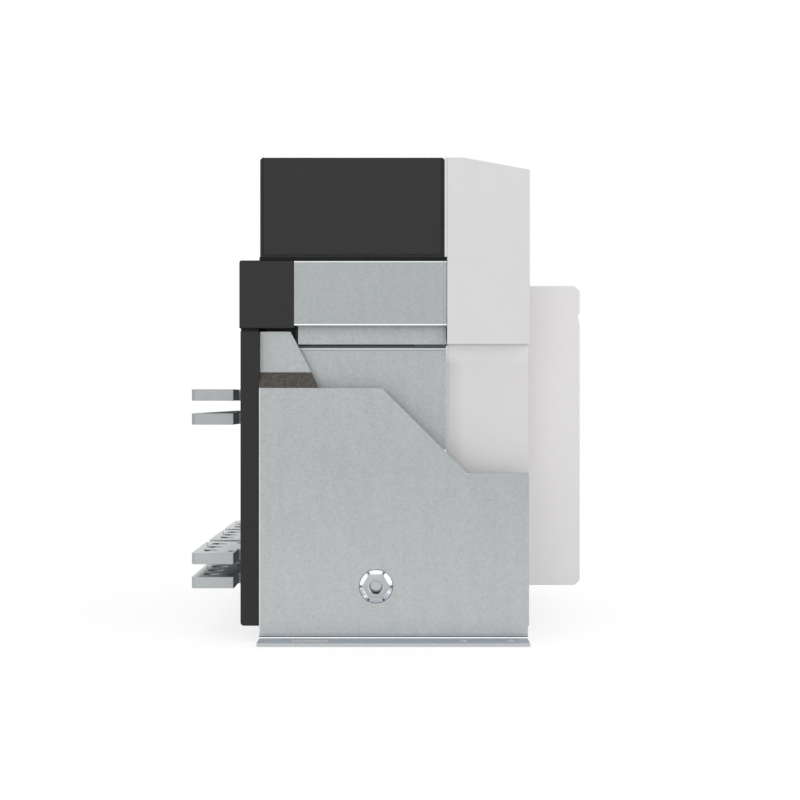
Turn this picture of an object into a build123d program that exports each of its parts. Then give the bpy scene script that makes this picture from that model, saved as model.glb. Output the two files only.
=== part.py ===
from build123d import *
import math
import os

os.makedirs("parts", exist_ok=True)

# Draw-out air circuit breaker with its cradle, in mm. Front is -Y, up is +Z, the origin is under the middle.

# Depths from the front face backwards
PANEL_OUT = 48.7
COVER_DEEP = 71.2
BODY_DEEP = 161.1
WALL_THICK = 16.2
BAR_OUT = 46.2
DEPTH = PANEL_OUT + COVER_DEEP + BODY_DEEP + WALL_THICK + BAR_OUT
FACE_Y = -DEPTH / 2
COVER_Y = FACE_Y + PANEL_OUT
BODY_Y = COVER_Y + COVER_DEEP
WALL_Y = BODY_Y + BODY_DEEP
BACK_Y = WALL_Y + WALL_THICK
BARS_Y = BACK_Y + BAR_OUT

# Widths, counted outwards from the middle pole
POLE_PITCH = 115.0
POLES = (-POLE_PITCH, 0.0, POLE_PITCH)
HOUSING_WALL = 3.5
HOUSING_HALF = 1.5 * POLE_PITCH + HOUSING_WALL
THIN_SHEET = 2.0
SLIDE_SPACE = 14.0
SHEET = 3.0
SIDE_IN = HOUSING_HALF + THIN_SHEET + SLIDE_SPACE
SIDE_OUT = SIDE_IN + SHEET
UPPER_HALF = SIDE_OUT - 5.0
PANEL_HALF = 145.0
FLANGE_WIDE = 22.5

# Heights of the cradle and of the breaker body above it
SIDE_HIGH = 217.5
FRONT_HIGH = 144.8
JOGGLE_HIGH = 13.5
JOGGLE_IN = 10.0
STRIP_HIGH = 35.2
STRIP_Z = SIDE_HIGH + JOGGLE_HIGH
STRIP_TOP = STRIP_Z + STRIP_HIGH
HOOD_Z = STRIP_TOP + 2.6
HOOD_HIGH = 58.4
CHUTE_Z = HOOD_Z + HOOD_HIGH + 0.5
CHUTE_HIGH = 88.2
TOP_Z = CHUTE_Z + CHUTE_HIGH
BAND_Z = STRIP_TOP - 10.9
SHELF_Z = HOOD_Z + 2.4

# Main terminals
BAR_WIDE = 100.0
BAR_THICK = 10.0
BAR_SPACING = 21.1
UPPER_Z = 201.1
LOWER_Z = 57.5
BLADE_WIDE = 60.0
BLADE_THICK = 12.0
BLADE_OUT = 29.0

# Pole cells inside the moulded housing
FLOOR_Z = 24.0
HOUSING_Z = FLOOR_Z + THIN_SHEET
HOUSING_TOP = CHUTE_Z - 0.5
HOUSING_REAR = WALL_Y - 4.0
CELL_REAR = HOUSING_REAR - 45.3
CELL_DEEP = 80.0
CELL_FRONT = CELL_REAR - CELL_DEEP
CELL_WALL = 4.0
CELL_HALF = POLE_PITCH / 2 - HOUSING_WALL / 2

# Slides and racking gear
RUNNER_Z = 98.0
RUNNER_HIGH = 32.0
RAIL_GAP = 0.3
ROLLER_R = 7.9
ROLLER_Z = RUNNER_Z + 17.0
SCREW_Z = 64.0
SCREW_R = 6.0
CROSSBAR_Y = COVER_Y + 23.0

# Contact drive, seen from the side: pivots and strokes
ARM_Y = CELL_FRONT + 38.0
ARM_Z = 85.0
ARM_SWING = 16.0
PIN_RISE = 60.0
SHAFT_Y = CELL_FRONT - 30.0
LEVER_R = 25.0
SHAFT_SWING = 40.0
SHAFT_Z = ARM_Z + PIN_RISE - LEVER_R
SHAFT_R = 9.0
CAM_Y = SHAFT_Y - 34.0
CAM_Z = 205.0
FRAME_X = 48.0


def save(name, *pieces):
    """Writes one node; a node of several pieces keeps them as separate solids."""
    solids = [solid for piece in pieces for solid in piece.solids()]
    shape = solids[0] if len(solids) == 1 else Compound(solids)
    export_step(shape, f"parts/{name}.step")


def block(x, y, z):
    """A box between three pairs of limits."""
    middle = [(low + high) / 2 for low, high in (x, y, z)]
    size = [abs(high - low) for low, high in (x, y, z)]
    return Pos(*middle) * Box(*size)


def across(points, x0, x1):
    """A side outline of (y, z) points, extruded across the width."""
    face = make_face(Plane.YZ * Polyline(*points, close=True))
    return Pos(x0, 0, 0) * extrude(face, amount=x1 - x0, dir=(1, 0, 0))


def along(points, y0, y1):
    """A front outline of (x, z) points, extruded along the depth."""
    face = make_face(Plane.XZ * Polyline(*points, close=True))
    return Pos(0, y0, 0) * extrude(face, amount=y1 - y0, dir=(0, 1, 0))


def upward(points, z0, z1):
    """A plan outline of (x, y) points, extruded upwards."""
    face = make_face(Plane.XY * Polyline(*points, close=True))
    return Pos(0, 0, z0) * extrude(face, amount=z1 - z0, dir=(0, 0, 1))


def rod_x(radius, x, y, z):
    """A round bar across the width between two x limits."""
    return Pos((x[0] + x[1]) / 2, y, z) * Rot(0, 90, 0) * Cylinder(radius, abs(x[1] - x[0]))


def rod_y(radius, x, y, z):
    """A round bar along the depth between two y limits."""
    return Pos(x, (y[0] + y[1]) / 2, z) * Rot(90, 0, 0) * Cylinder(radius, abs(y[1] - y[0]))


def rod_z(radius, x, y, z):
    """An upright round bar between two z limits."""
    return Pos(x, y, (z[0] + z[1]) / 2) * Cylinder(radius, abs(z[1] - z[0]))


def other_side(piece):
    """The same piece on the -X side."""
    return mirror(piece, about=Plane.YZ)


def both(piece):
    """A handed pair: the piece and its mirror image."""
    return [piece, other_side(piece)]


def turned(piece, y, z, degrees):
    """The piece turned about a cross axis through (y, z); positive leans its top forwards."""
    return Pos(0, y, z) * Rot(degrees, 0, 0) * Pos(0, -y, -z) * piece


# Cradle side: one sheet with a floor flange turned out and a strip joggled in
BUSH_Y = WALL_Y - 100.2
BUSH_Z = 47.9
FRONT_EDGE = COVER_Y + 1.2
STRIP_FRONT = WALL_Y - 26.3
STRIP_LEAN = 18.1


def side_outline():
    step = 14.0
    chamfer = SIDE_HIGH - FRONT_HIGH
    chamfer_y = FRONT_EDGE + 53.1
    lean = STRIP_LEAN / STRIP_HIGH
    foot = STRIP_FRONT - STRIP_LEAN
    return [
        (WALL_Y, 0),
        (FRONT_EDGE + 1, 0),
        (FRONT_EDGE + 1, step),
        (FRONT_EDGE, step),
        (FRONT_EDGE, FRONT_HIGH),
        (chamfer_y, FRONT_HIGH),
        (chamfer_y + chamfer, SIDE_HIGH),
        (foot - lean * JOGGLE_HIGH, SIDE_HIGH),
        (foot, STRIP_Z),
        (STRIP_FRONT, STRIP_TOP),
        (WALL_Y, STRIP_TOP),
    ]


def cradle_side():
    tip = SIDE_OUT + FLANGE_WIDE
    section = [
        (SIDE_IN, 0),
        (tip, 0),
        (tip, SHEET),
        (SIDE_OUT, SHEET),
        (SIDE_OUT, SIDE_HIGH),
        (SIDE_OUT - JOGGLE_IN, STRIP_Z),
        (SIDE_OUT - JOGGLE_IN, STRIP_TOP),
        (SIDE_IN - JOGGLE_IN, STRIP_TOP),
        (SIDE_IN - JOGGLE_IN, STRIP_Z),
        (SIDE_IN, SIDE_HIGH),
    ]
    sheet = along(section, FRONT_EDGE - 5, WALL_Y + 5)
    bend = [e for e in sheet.edges().filter_by(Axis.Y) if abs(e.center().X - SIDE_OUT) < 0.1]
    sheet = fillet([e for e in bend if abs(e.center().Z - SHEET) < 0.1], 2.0)
    sheet &= across(side_outline(), SIDE_IN - 20, tip + 10)
    hole_x = SIDE_OUT + FLANGE_WIDE / 2 + 1
    for y in (FRONT_EDGE + 16.0, FRONT_EDGE + 55.6):
        sheet -= rod_z(4.75, hole_x, y, (-1, SHEET + 1))
    slot = extrude(Rot(0, 0, 90) * SlotOverall(34.0, 9.0), amount=SHEET + 2)
    sheet -= Pos(hole_x, WALL_Y - 44.7, -1) * slot
    sheet -= rod_x(10.0, (SIDE_IN - 1, SIDE_OUT + 1), BUSH_Y, BUSH_Z)
    return sheet


def side_bush():
    collar = rod_x(14.5, (SIDE_OUT, SIDE_OUT + 3), BUSH_Y, BUSH_Z)
    collar = chamfer(collar.edges().sort_by(Axis.X)[-1], 2.4)
    bush = collar + rod_x(10.0, (SIDE_IN - 4, SIDE_OUT), BUSH_Y, BUSH_Z)
    return bush - rod_x(6.0, (SIDE_IN - 5, SIDE_OUT + 5), BUSH_Y, BUSH_Z)


def laminate_strip():
    """Thin insulating strip lying on the sloping face of the joggle."""
    out = 1.0
    section = [
        (SIDE_OUT, SIDE_HIGH),
        (SIDE_OUT - JOGGLE_IN, STRIP_Z),
        (SIDE_OUT - JOGGLE_IN + out, STRIP_Z),
        (SIDE_OUT + out * 0.2, SIDE_HIGH + 0.6),
    ]
    strip = along(section, STRIP_FRONT - 40, WALL_Y)
    return strip & across(side_outline(), SIDE_IN - 20, SIDE_OUT + 20)


def wall_angle():
    """Angle that ties the side sheet to the rear wall above the runner."""
    low, high = RUNNER_Z + RUNNER_HIGH + 8, SIDE_HIGH - 6
    thick = 2.5
    leg = block((SIDE_IN - 20, SIDE_IN), (WALL_Y - thick, WALL_Y), (low, high))
    return leg + block((SIDE_IN - thick, SIDE_IN), (WALL_Y - 30, WALL_Y), (low, high))


def cradle_floor():
    thick = 2.5
    front = FRONT_EDGE + 3
    pan = block((-SIDE_IN, SIDE_IN), (front, WALL_Y), (0, thick))
    for side in (-1, 1):
        edge = sorted((side * SIDE_IN, side * (SIDE_IN - thick)))
        pan += block(edge, (front, WALL_Y), (0, 18))
    pan += block((-SIDE_IN, SIDE_IN), (WALL_Y - thick, WALL_Y), (0, 36))
    pan += block((-SIDE_IN, SIDE_IN), (front, front + thick), (0, 6))
    for x in (-SIDE_IN / 2, SIDE_IN / 2):
        pan -= block((x - 68, x + 68), (front + 50, WALL_Y - 40), (-1, 3))
    return pan


def hex_head(x, z):
    """Hexagon head on the front of an angle or lip that lies on the rear wall."""
    head = extrude(Plane.XZ * RegularPolygon(4.3, 6), amount=3)
    return Pos(x, WALL_Y - 2.5, z) * head


def cradle_screws():
    """Screw heads that fix the angles and the floor to the rear wall."""
    heads = []
    for x in (-SIDE_IN + 10, SIDE_IN - 10):
        for z in (RUNNER_Z + RUNNER_HIGH + 20, SIDE_HIGH - 20):
            heads.append(hex_head(x, z))
    for x in (-1.5 * POLE_PITCH + 10, -POLE_PITCH / 2, POLE_PITCH / 2, 1.5 * POLE_PITCH - 10):
        heads.append(hex_head(x, FLOOR_Z - 10))
    return heads


# Moulded rear wall that carries the six main terminals
BLOCK_WIDE = 62.0
BLOCK_HIGH = BAR_SPACING + BAR_THICK


def rear_wall():
    low = 13.5
    wall = block((-SIDE_IN, SIDE_IN), (WALL_Y, BACK_Y), (low, STRIP_TOP))
    rear = wall.edges().filter_by(Axis.X).group_by(Axis.Y)[-1]
    wall = fillet(rear.sort_by(Axis.Z)[0], 3.0)
    for x in POLES:
        for z in (UPPER_Z, LOWER_Z):
            half, high = BLOCK_WIDE / 2, BLOCK_HIGH / 2
            wall -= block((x - half, x + half), (WALL_Y - 1, BACK_Y + 1), (z - high, z + high))
        for bottom, top in ((LOWER_Z + 28, UPPER_Z - 28), (UPPER_Z + 26, STRIP_TOP - 10)):
            wall -= block((x - 44, x + 44), (BACK_Y - 6, BACK_Y + 1), (bottom, top))
    return wall


def terminal_bar(x, z):
    """One rear bar: wide pad with three bolt holes, and the neck that meets the block."""
    nose = 3.0
    pad_front = BARS_Y - 37.5
    neck = 17.0
    wide = BAR_WIDE / 2
    plan = [
        (x - neck, BACK_Y),
        (x + neck, BACK_Y),
        (x + neck, pad_front),
        (x + wide, pad_front),
        (x + wide, BARS_Y - nose),
        (x + wide - nose, BARS_Y),
        (x - wide + nose, BARS_Y),
        (x - wide, BARS_Y - nose),
        (x - wide, pad_front),
        (x - neck, pad_front),
    ]
    half = BAR_THICK / 2
    bar = upward(plan, z - half, z + half)
    for offset in (-28, 0, 28):
        bar -= rod_z(7.0, x + offset, BARS_Y - 15.2, (z - half - 1, z + half + 1))
    return bar


def terminal_block(x, z):
    """Block through the wall that both bars stand on, and the plug-in blade in front of it."""
    half, high = BLOCK_WIDE / 2, BLOCK_HIGH / 2
    piece = block((x - half, x + half), (WALL_Y, BACK_Y), (z - high, z + high))
    tip = WALL_Y - BLADE_OUT
    thick = BLADE_THICK / 2
    blade = [
        (WALL_Y, z - thick),
        (WALL_Y, z + thick),
        (tip + 6, z + thick),
        (tip, z + 2),
        (tip, z - 2),
        (tip + 6, z - thick),
    ]
    return piece + across(blade, x - BLADE_WIDE / 2, x + BLADE_WIDE / 2)


def terminal_row(z):
    """The three terminals of one row, each of two bars and a block."""
    pieces = []
    for x in POLES:
        pieces.append(terminal_block(x, z))
        pieces.append(terminal_bar(x, z - BAR_SPACING / 2))
        pieces.append(terminal_bar(x, z + BAR_SPACING / 2))
    return pieces


# Fixed runner, sliding rail and the crossbar under the breaker
RAIL_REAR = WALL_Y - 9.0
RAIL_FRONT = FRONT_EDGE + 3.8
LEDGE_Z = RUNNER_Z + 6.0


def fixed_runner():
    """C section riveted inside the cradle side."""
    lip = SIDE_IN - 8
    web = SIDE_IN - 2
    top = RUNNER_Z + RUNNER_HIGH
    section = [
        (lip, RUNNER_Z),
        (SIDE_IN, RUNNER_Z),
        (SIDE_IN, top),
        (lip, top),
        (lip, top - 2),
        (web, top - 2),
        (web, RUNNER_Z + 2),
        (lip, RUNNER_Z + 2),
    ]
    return along(section, RAIL_FRONT - 1, RAIL_REAR + 5.5)


def slide_rail():
    """Rail in the runner, with a ledge turned in that the breaker's rollers stand on."""
    web_out = SIDE_IN - 2 - RAIL_GAP
    web_in = web_out - SHEET
    low = RUNNER_Z + 2 + RAIL_GAP
    high = RUNNER_Z + RUNNER_HIGH - 2 - RAIL_GAP
    ledge_in = HOUSING_HALF + THIN_SHEET + 0.8
    section = [
        (web_out, low),
        (web_out, high),
        (web_in, high),
        (web_in, LEDGE_Z + SHEET),
        (ledge_in, LEDGE_Z + SHEET),
        (ledge_in, LEDGE_Z),
        (web_in, LEDGE_Z),
        (web_in, low),
    ]
    return along(section, RAIL_FRONT, RAIL_REAR)


def crossbar():
    """Bar under the breaker that ties both rails and holds the racking nut."""
    deep = (CROSSBAR_Y - 8, CROSSBAR_Y + 8)
    out = HOUSING_HALF + THIN_SHEET + 5
    bar = block((-out, out), deep, (8, 18))
    for side in (-1, 1):
        arm = sorted((side * out, side * (out - SHEET)))
        bar += block(arm, deep, (8, LEDGE_Z))
    ring = rod_y(17.0, 0, (CROSSBAR_Y - 6, CROSSBAR_Y + 6), SCREW_Z)
    post = block((-9, 9), (CROSSBAR_Y - 6, CROSSBAR_Y + 6), (18, SCREW_Z))
    bar += post + ring
    return bar - rod_y(12.0, 0, (CROSSBAR_Y - 9, CROSSBAR_Y + 9), SCREW_Z)


def racking_nut():
    nut = rod_y(12.0, 0, (CROSSBAR_Y - 7, CROSSBAR_Y + 7), SCREW_Z)
    return nut - rod_y(SCREW_R + 0.08, 0, (CROSSBAR_Y - 9, CROSSBAR_Y + 9), SCREW_Z)


# Breaker floor with the two bearings of the racking screw
SCREW_FRONT = COVER_Y + 6.0
SCREW_REAR = CELL_FRONT - CELL_WALL - 4.0


def breaker_floor():
    half = HOUSING_HALF - 3.5
    floor = block((-half, half), (COVER_Y + 3.2, HOUSING_REAR), (FLOOR_Z, HOUSING_Z))
    floor -= block((-12, 12), (SCREW_FRONT + 6, SCREW_REAR - 1), (FLOOR_Z - 1, HOUSING_Z + 1))
    for y, thick in ((SCREW_FRONT, 5.0), (SCREW_REAR, 4.0)):
        stand = block((-16, 16), (y, y + thick), (FLOOR_Z, SCREW_Z + 14))
        floor += stand - rod_y(SCREW_R + 0.1, 0, (y - 1, y + thick + 1), SCREW_Z)
    return floor


def racking_screw():
    """Screw with a hexagon socket at its front end, held between two collars."""
    head_front = FACE_Y + 13.7
    screw = rod_y(SCREW_R, 0, (head_front + 5, SCREW_REAR + 3.5), SCREW_Z)
    screw += rod_y(9.0, 0, (head_front, SCREW_FRONT - 0.5), SCREW_Z)
    screw += rod_y(9.5, 0, (SCREW_FRONT + 5.5, SCREW_FRONT + 8), SCREW_Z)
    socket = extrude(Plane.XZ * RegularPolygon(5.5, 6), amount=16)
    return screw - Pos(0, head_front + 15, SCREW_Z) * socket


# Moulded pole housing: three cells open at the top, plug pockets open at the rear
def pole_housing():
    body = block((-HOUSING_HALF, HOUSING_HALF), (CELL_FRONT - CELL_WALL, HOUSING_REAR), (HOUSING_Z, HOUSING_TOP))
    ledge = HOUSING_HALF + 3
    hood_front = WALL_Y - 29.65
    for x in (-ledge, HOUSING_HALF):
        body += block((x, x + 3), (CELL_FRONT - CELL_WALL, hood_front), (BAND_Z - 1, SHELF_Z + 2))
    body -= block((-ledge, ledge), (hood_front, WALL_Y), (HOOD_Z, HOUSING_TOP + 1))
    for x in POLES:
        cell = (x - CELL_HALF, x + CELL_HALF)
        body -= block(cell, (CELL_FRONT, CELL_REAR), (HOUSING_Z + 4, HOUSING_TOP + 1))
        body -= block(cell, (CELL_REAR + CELL_WALL, HOUSING_REAR + 1), (HOUSING_Z + 4, UPPER_Z + 31))
        half, thick = BLADE_WIDE / 2 + 0.3, BLADE_THICK / 2 + 0.3
        for z in (UPPER_Z, LOWER_Z):
            slot = (z - thick, z + thick)
            body -= block((x - half, x + half), (CELL_REAR - 1, CELL_REAR + CELL_WALL + 1), slot)
        link = (SHAFT_Z + LEVER_R - 13, SHAFT_Z + LEVER_R + 11)
        body -= block((x - 8, x + 8), (CELL_FRONT - CELL_WALL - 1, CELL_FRONT + 1), link)
    return body


def upper_conductor(x):
    """Stub for the plug fingers, fixed contact block and the arc runner above it."""
    half = BLADE_WIDE / 2
    thick = BLADE_THICK / 2
    face = CELL_REAR - 12
    outline = [
        (face, UPPER_Z - thick),
        (CELL_REAR + CELL_WALL + 10, UPPER_Z - thick),
        (CELL_REAR + CELL_WALL + 12, UPPER_Z - 3),
        (CELL_REAR + CELL_WALL + 12, UPPER_Z + 3),
        (CELL_REAR + CELL_WALL + 10, UPPER_Z + thick),
        (CELL_REAR - 2, UPPER_Z + thick),
        (CELL_REAR - 2, UPPER_Z + 60),
        (CELL_REAR - 4, UPPER_Z + 60),
        (CELL_REAR - 4, UPPER_Z + 40),
        (face, UPPER_Z + 34),
    ]
    return across(outline, x - half, x + half)


def lower_conductor(x):
    """Stub for the plug fingers, bar through the current sensor and the braid foot."""
    half = BLADE_WIDE / 2
    thick = BLADE_THICK / 2
    end = CELL_REAR + CELL_WALL + 12
    outline = [
        (end - 2, LOWER_Z - thick),
        (end, LOWER_Z - 3),
        (end, LOWER_Z + 3),
        (end - 2, LOWER_Z + thick),
        (CELL_FRONT + 18, LOWER_Z + thick),
        (CELL_FRONT + 18, LOWER_Z + 14),
        (CELL_FRONT + 8, LOWER_Z + 14),
        (CELL_FRONT + 8, LOWER_Z - thick),
    ]
    return across(outline, x - half, x + half)


def current_sensor(x):
    """Closed ring around the lower bar."""
    y = (CELL_REAR - 28, CELL_REAR - 6)
    wide, high = BLADE_WIDE / 2 + 0.3, BLADE_THICK / 2 + 0.3
    ring = block((x - wide - 13.7, x + wide + 13.7), y, (HOUSING_Z + 4, LOWER_Z + 20))
    opening = block((x - wide, x + wide), (y[0] - 1, y[1] + 1), (LOWER_Z - high, LOWER_Z + high))
    return ring - opening


# Plug-in finger clusters: sprung fingers that bridge the stub and the cradle blade
FINGER_GAP = 2.0
FINGER_PITCH = BLADE_WIDE / 5 - 1


def finger_outline(z, side):
    """One finger, bowed away from the blades and bearing on them at both ends."""
    rear = WALL_Y - 13.0
    front = CELL_REAR + CELL_WALL + 0.6
    base = z + side * (BLADE_THICK / 2 + 0.05)
    shape = [
        (front, 3.0),
        (front + 2.5, 0.0),
        (front + 6.5, 0.0),
        (front + 10.0, 4.0),
        (rear - 12.0, 4.0),
        (rear - 8.0, 0.0),
        (rear - 4.5, 0.0),
        (rear, 4.5),
        (rear, 8.0),
        (rear - 10.0, 9.5),
        (front + 8.0, 9.5),
        (front, 7.5),
    ]
    return [(y, base + side * rise) for y, rise in shape]


def finger_cluster(x, z):
    fingers = []
    for index in range(-2, 3):
        middle = x + index * FINGER_PITCH
        half = (FINGER_PITCH - FINGER_GAP) / 2
        for side in (-1, 1):
            fingers.append(across(finger_outline(z, side), middle - half, middle + half))
    return fingers


def finger_cage(x, z):
    """Folded steel cage that holds both rows of fingers together."""
    mid = (CELL_REAR + CELL_WALL + WALL_Y) / 2 - 6
    high = BLADE_THICK / 2 + 9.55
    half = BLADE_WIDE / 2 + 0.5
    outer = block((x - half - 1.5, x + half + 1.5), (mid - 5, mid + 5), (z - high - 1.5, z + high + 1.5))
    return outer - block((x - half, x + half), (mid - 6, mid + 6), (z - high, z + high))


# Moving contacts: a moulded carrier with parallel copper fingers, modelled closed and leant open
def contact_carrier(x):
    half = 34.0
    y, z = ARM_Y, ARM_Z
    body = rod_x(12.0, (x - half, x + half), y, z)
    body += across([(y - 10, z), (y + 11, z), (y + 16, z + 45), (y - 4, z + 45)], x - half, x + half)
    for low, high in ((x - 11, x - 5), (x + 5, x + 11)):
        cheek = [(y - 2, z + 45), (y + 16, z + 45), (y + 15, z + 66), (y + 1, z + 66)]
        body += across(cheek, low, high)
    body -= rod_x(5.1, (x - half - 1, x + half + 1), y, z)
    return turned(body, y, z, ARM_SWING)


def contact_fingers(x):
    y, z = ARM_Y, ARM_Z
    face = CELL_REAR - 12.3
    outline = [
        (y - 2, z + 45),
        (y + 14, z + 45),
        (face - 6, UPPER_Z + 2),
        (face, UPPER_Z + 8),
        (face, UPPER_Z + 30),
        (face - 5, UPPER_Z + 36),
        (face - 12, UPPER_Z + 34),
        (face - 14, UPPER_Z + 4),
    ]
    fingers = []
    for offset in (15, 21, 27):
        for low in (x + offset, x - offset - 5):
            fingers.append(turned(across(outline, low, low + 5), y, z, ARM_SWING))
    return fingers


def arm_pins(x):
    """Pivot pin of the carrier, across the cell."""
    return rod_x(5.0, (x - CELL_HALF, x + CELL_HALF), ARM_Y, ARM_Z)


def drive_pin(x):
    """Pin of the carrier fork that the drive link pulls on."""
    lean = math.radians(ARM_SWING / 2)
    y = ARM_Y - PIN_RISE * math.sin(lean)
    z = ARM_Z + PIN_RISE * math.cos(lean)
    return rod_x(3.0, (x - 5, x + 5), y, z)


def link_outline(near, far, z):
    """Bar with a widened eye at each end."""
    eye = [(-7, 3.5), (-3.5, 6.5), (3.5, 6.5), (7, 5)]
    top = [(near + y, z + rise) for y, rise in eye]
    top += [(far - y, z + rise) for y, rise in reversed(eye)]
    under = [(y, 2 * z - rise) for y, rise in reversed(top)]
    return top + under


def drive_link(x):
    """Insulating link; its far eye is a short slot that leaves the fork pin free."""
    half_swing = math.radians(SHAFT_SWING / 2)
    near_y = SHAFT_Y - LEVER_R * math.sin(half_swing)
    near_z = SHAFT_Z + LEVER_R * math.cos(half_swing)
    lean = math.radians(ARM_SWING / 2)
    far_y = ARM_Y - PIN_RISE * math.sin(lean)
    body = across(link_outline(near_y, far_y, near_z), x - 4, x + 4)
    body -= rod_x(3.1, (x - 5, x + 5), near_y, near_z)
    return body - block((x - 5, x + 5), (far_y - 3.5, far_y + 3.5), (near_z - 3.6, near_z + 4.8))


def flex_braid(x, side):
    """Laminated flexible from the braid foot up to the carrier."""
    y = CELL_FRONT + 13
    z = LOWER_Z + 14
    outline = [
        (y - 4, z),
        (y + 4, z),
        (y + 3, z + 14),
        (y + 4.5, z + 26),
        (y + 7.5, z + 33),
        (y + 6.3, z + 40),
        (y - 1, z + 30),
        (y - 4, z + 16),
    ]
    low = x + side * 22 - 10
    return across(outline, low, low + 20)


# Pole shaft with a pair of levers per pole, and a crank for the closing cam
def lever_outline():
    """Drop-shaped lever: wide round the shaft, narrow at the pin."""
    half = [(4, -13), (11, -8), (13, 0), (7, LEVER_R), (3.5, LEVER_R + 6.5)]
    right = [(SHAFT_Y + y, SHAFT_Z + z) for y, z in half]
    left = [(SHAFT_Y - y, SHAFT_Z + z) for y, z in reversed(half)]
    return right + left


def pole_shaft():
    shaft = rod_x(SHAFT_R, (-POLE_PITCH - 32, POLE_PITCH + 32), SHAFT_Y, SHAFT_Z)
    for x in POLES:
        for low in (x - 11, x + 5):
            shaft += across(lever_outline(), low, low + 6)
        shaft += rod_x(3.0, (x - 11, x + 11), SHAFT_Y, SHAFT_Z + LEVER_R)
    crank = block((28, 34), (SHAFT_Y - 24, SHAFT_Y), (SHAFT_Z - 6, SHAFT_Z + 6))
    shaft += crank + rod_x(7.0, (22, 34), SHAFT_Y - 26, SHAFT_Z)
    return turned(shaft, SHAFT_Y, SHAFT_Z, SHAFT_SWING / 2)


def shaft_bearing(x):
    """Bearing bracket on the front of the housing near the end of the pole shaft."""
    low = min(x, x + math.copysign(5, x))
    stand = block((low, low + 5), (SHAFT_Y - 14, CELL_FRONT - CELL_WALL), (SHAFT_Z - 14, SHAFT_Z + 14))
    return stand - rod_x(SHAFT_R + 0.1, (low - 1, low + 6), SHAFT_Y, SHAFT_Z)


# Stored-energy mechanism between two steel plates
FRAME_FRONT = COVER_Y + 12.0
FRAME_Z = SCREW_Z + 30.0
FRAME_TOP = HOUSING_TOP - 30.0


def mechanism_frame():
    rear = CELL_FRONT - CELL_WALL
    pieces = []
    for x in (-FRAME_X - SHEET, FRAME_X):
        plate = block((x, x + SHEET), (FRAME_FRONT, rear), (FRAME_Z, FRAME_TOP))
        plate -= rod_x(SHAFT_R + 0.1, (x - 1, x + 4), SHAFT_Y, SHAFT_Z)
        plate -= rod_x(7.1, (x - 1, x + 4), CAM_Y, CAM_Z)
        pieces.append(plate)
    for y, z in ((FRAME_FRONT + 8, FRAME_Z + 8), (rear - 8, FRAME_Z + 8), (FRAME_FRONT + 8, FRAME_TOP - 8), (rear - 8, FRAME_TOP - 8)):
        pieces.append(rod_x(5.0, (-FRAME_X, FRAME_X), y, z))
    return pieces


def cam_shaft():
    shaft = rod_x(7.0, (-FRAME_X - 2.5, FRAME_X + 7), CAM_Y, CAM_Z)
    cam = rod_x(17.0, (22, 32), CAM_Y, CAM_Z) + rod_x(11.0, (22, 32), CAM_Y, CAM_Z + 12)
    return shaft + cam + rod_x(23.0, (-40, -34), CAM_Y, CAM_Z)


def spring_beam():
    """Cross beam that both closing springs hang from."""
    return block((-FRAME_X, FRAME_X), (SHAFT_Y - 8, SHAFT_Y + 12), (FRAME_TOP - 30, FRAME_TOP - 24))


def closing_spring(x):
    """Coil spring between the upper cross beam and its lower plate, on a guide rod."""
    bottom, top = SHAFT_Z + 50, FRAME_TOP - 30
    radius = 9.5
    low, high = bottom + 6, top - 6
    y = SHAFT_Y + 2
    points = []
    for step in range(49):
        angle = math.radians(45 * step)
        rise = low + (high - low) * step / 48
        points.append((x + radius * math.cos(angle), y + radius * math.sin(angle), rise))
    path = Polyline(*points)
    section = Plane(origin=path @ 0, z_dir=path % 0) * Rectangle(3.4, 3.4)
    coil = sweep(section, path=path, transition=Transition.RIGHT)
    return [
        coil,
        rod_z(12.5, x, y, (top - 4, top)) + rod_z(5.0, x, y, (bottom + 4, top - 4)),
        rod_z(12.5, x, y, (bottom, bottom + 4)),
    ]


def spring_plate():
    return block((-FRAME_X, FRAME_X), (SHAFT_Y - 8, SHAFT_Y + 12), (SHAFT_Z + 46, SHAFT_Z + 50))


def charging_motor():
    """Gear head against the frame plate, motor barrel beyond it."""
    x = FRAME_X + SHEET
    gear = block((x + 6, x + 26), (CAM_Y - 22, CAM_Y + 22), (CAM_Z - 24, CAM_Z + 24))
    barrel = rod_x(19.0, (x + 26, x + 84), CAM_Y, CAM_Z)
    foot = block((x, x + 26), (CAM_Y + 10, CAM_Y + 22), (CAM_Z + 12, CAM_Z + 24))
    foot += block((x, x + 26), (CAM_Y - 22, CAM_Y - 10), (CAM_Z - 24, CAM_Z - 12))
    return gear + barrel + foot


def release_coils():
    """Closing coil, shunt release and undervoltage release on one shelf."""
    inner = -FRAME_X - SHEET
    shelf = block((inner - 102, inner), (CAM_Y - 18, CAM_Y + 18), (CAM_Z - 4, CAM_Z))
    shelf += block((inner - 3, inner), (CAM_Y - 18, CAM_Y + 18), (CAM_Z, CAM_Z + 16))
    pieces = [shelf]
    for index in range(3):
        x = inner - 20 - index * 31
        yoke = block((x - 14, x + 14), (CAM_Y - 14, CAM_Y + 14), (CAM_Z, CAM_Z + 4))
        yoke += block((x - 14, x + 14), (CAM_Y + 11, CAM_Y + 14), (CAM_Z, CAM_Z + 46))
        yoke += block((x - 14, x + 14), (CAM_Y - 14, CAM_Y + 14), (CAM_Z + 43, CAM_Z + 46))
        pieces.append(yoke + rod_z(10.5, x, CAM_Y, (CAM_Z + 4, CAM_Z + 43)))
    return pieces


# Galvanised side sheets of the breaker
def lower_side_sheet():
    x = (HOUSING_HALF, HOUSING_HALF + THIN_SHEET)
    return block(x, (BODY_Y - 0.1 + 0.4, HOUSING_REAR - 5), (30, BAND_Z - 3))


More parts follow.
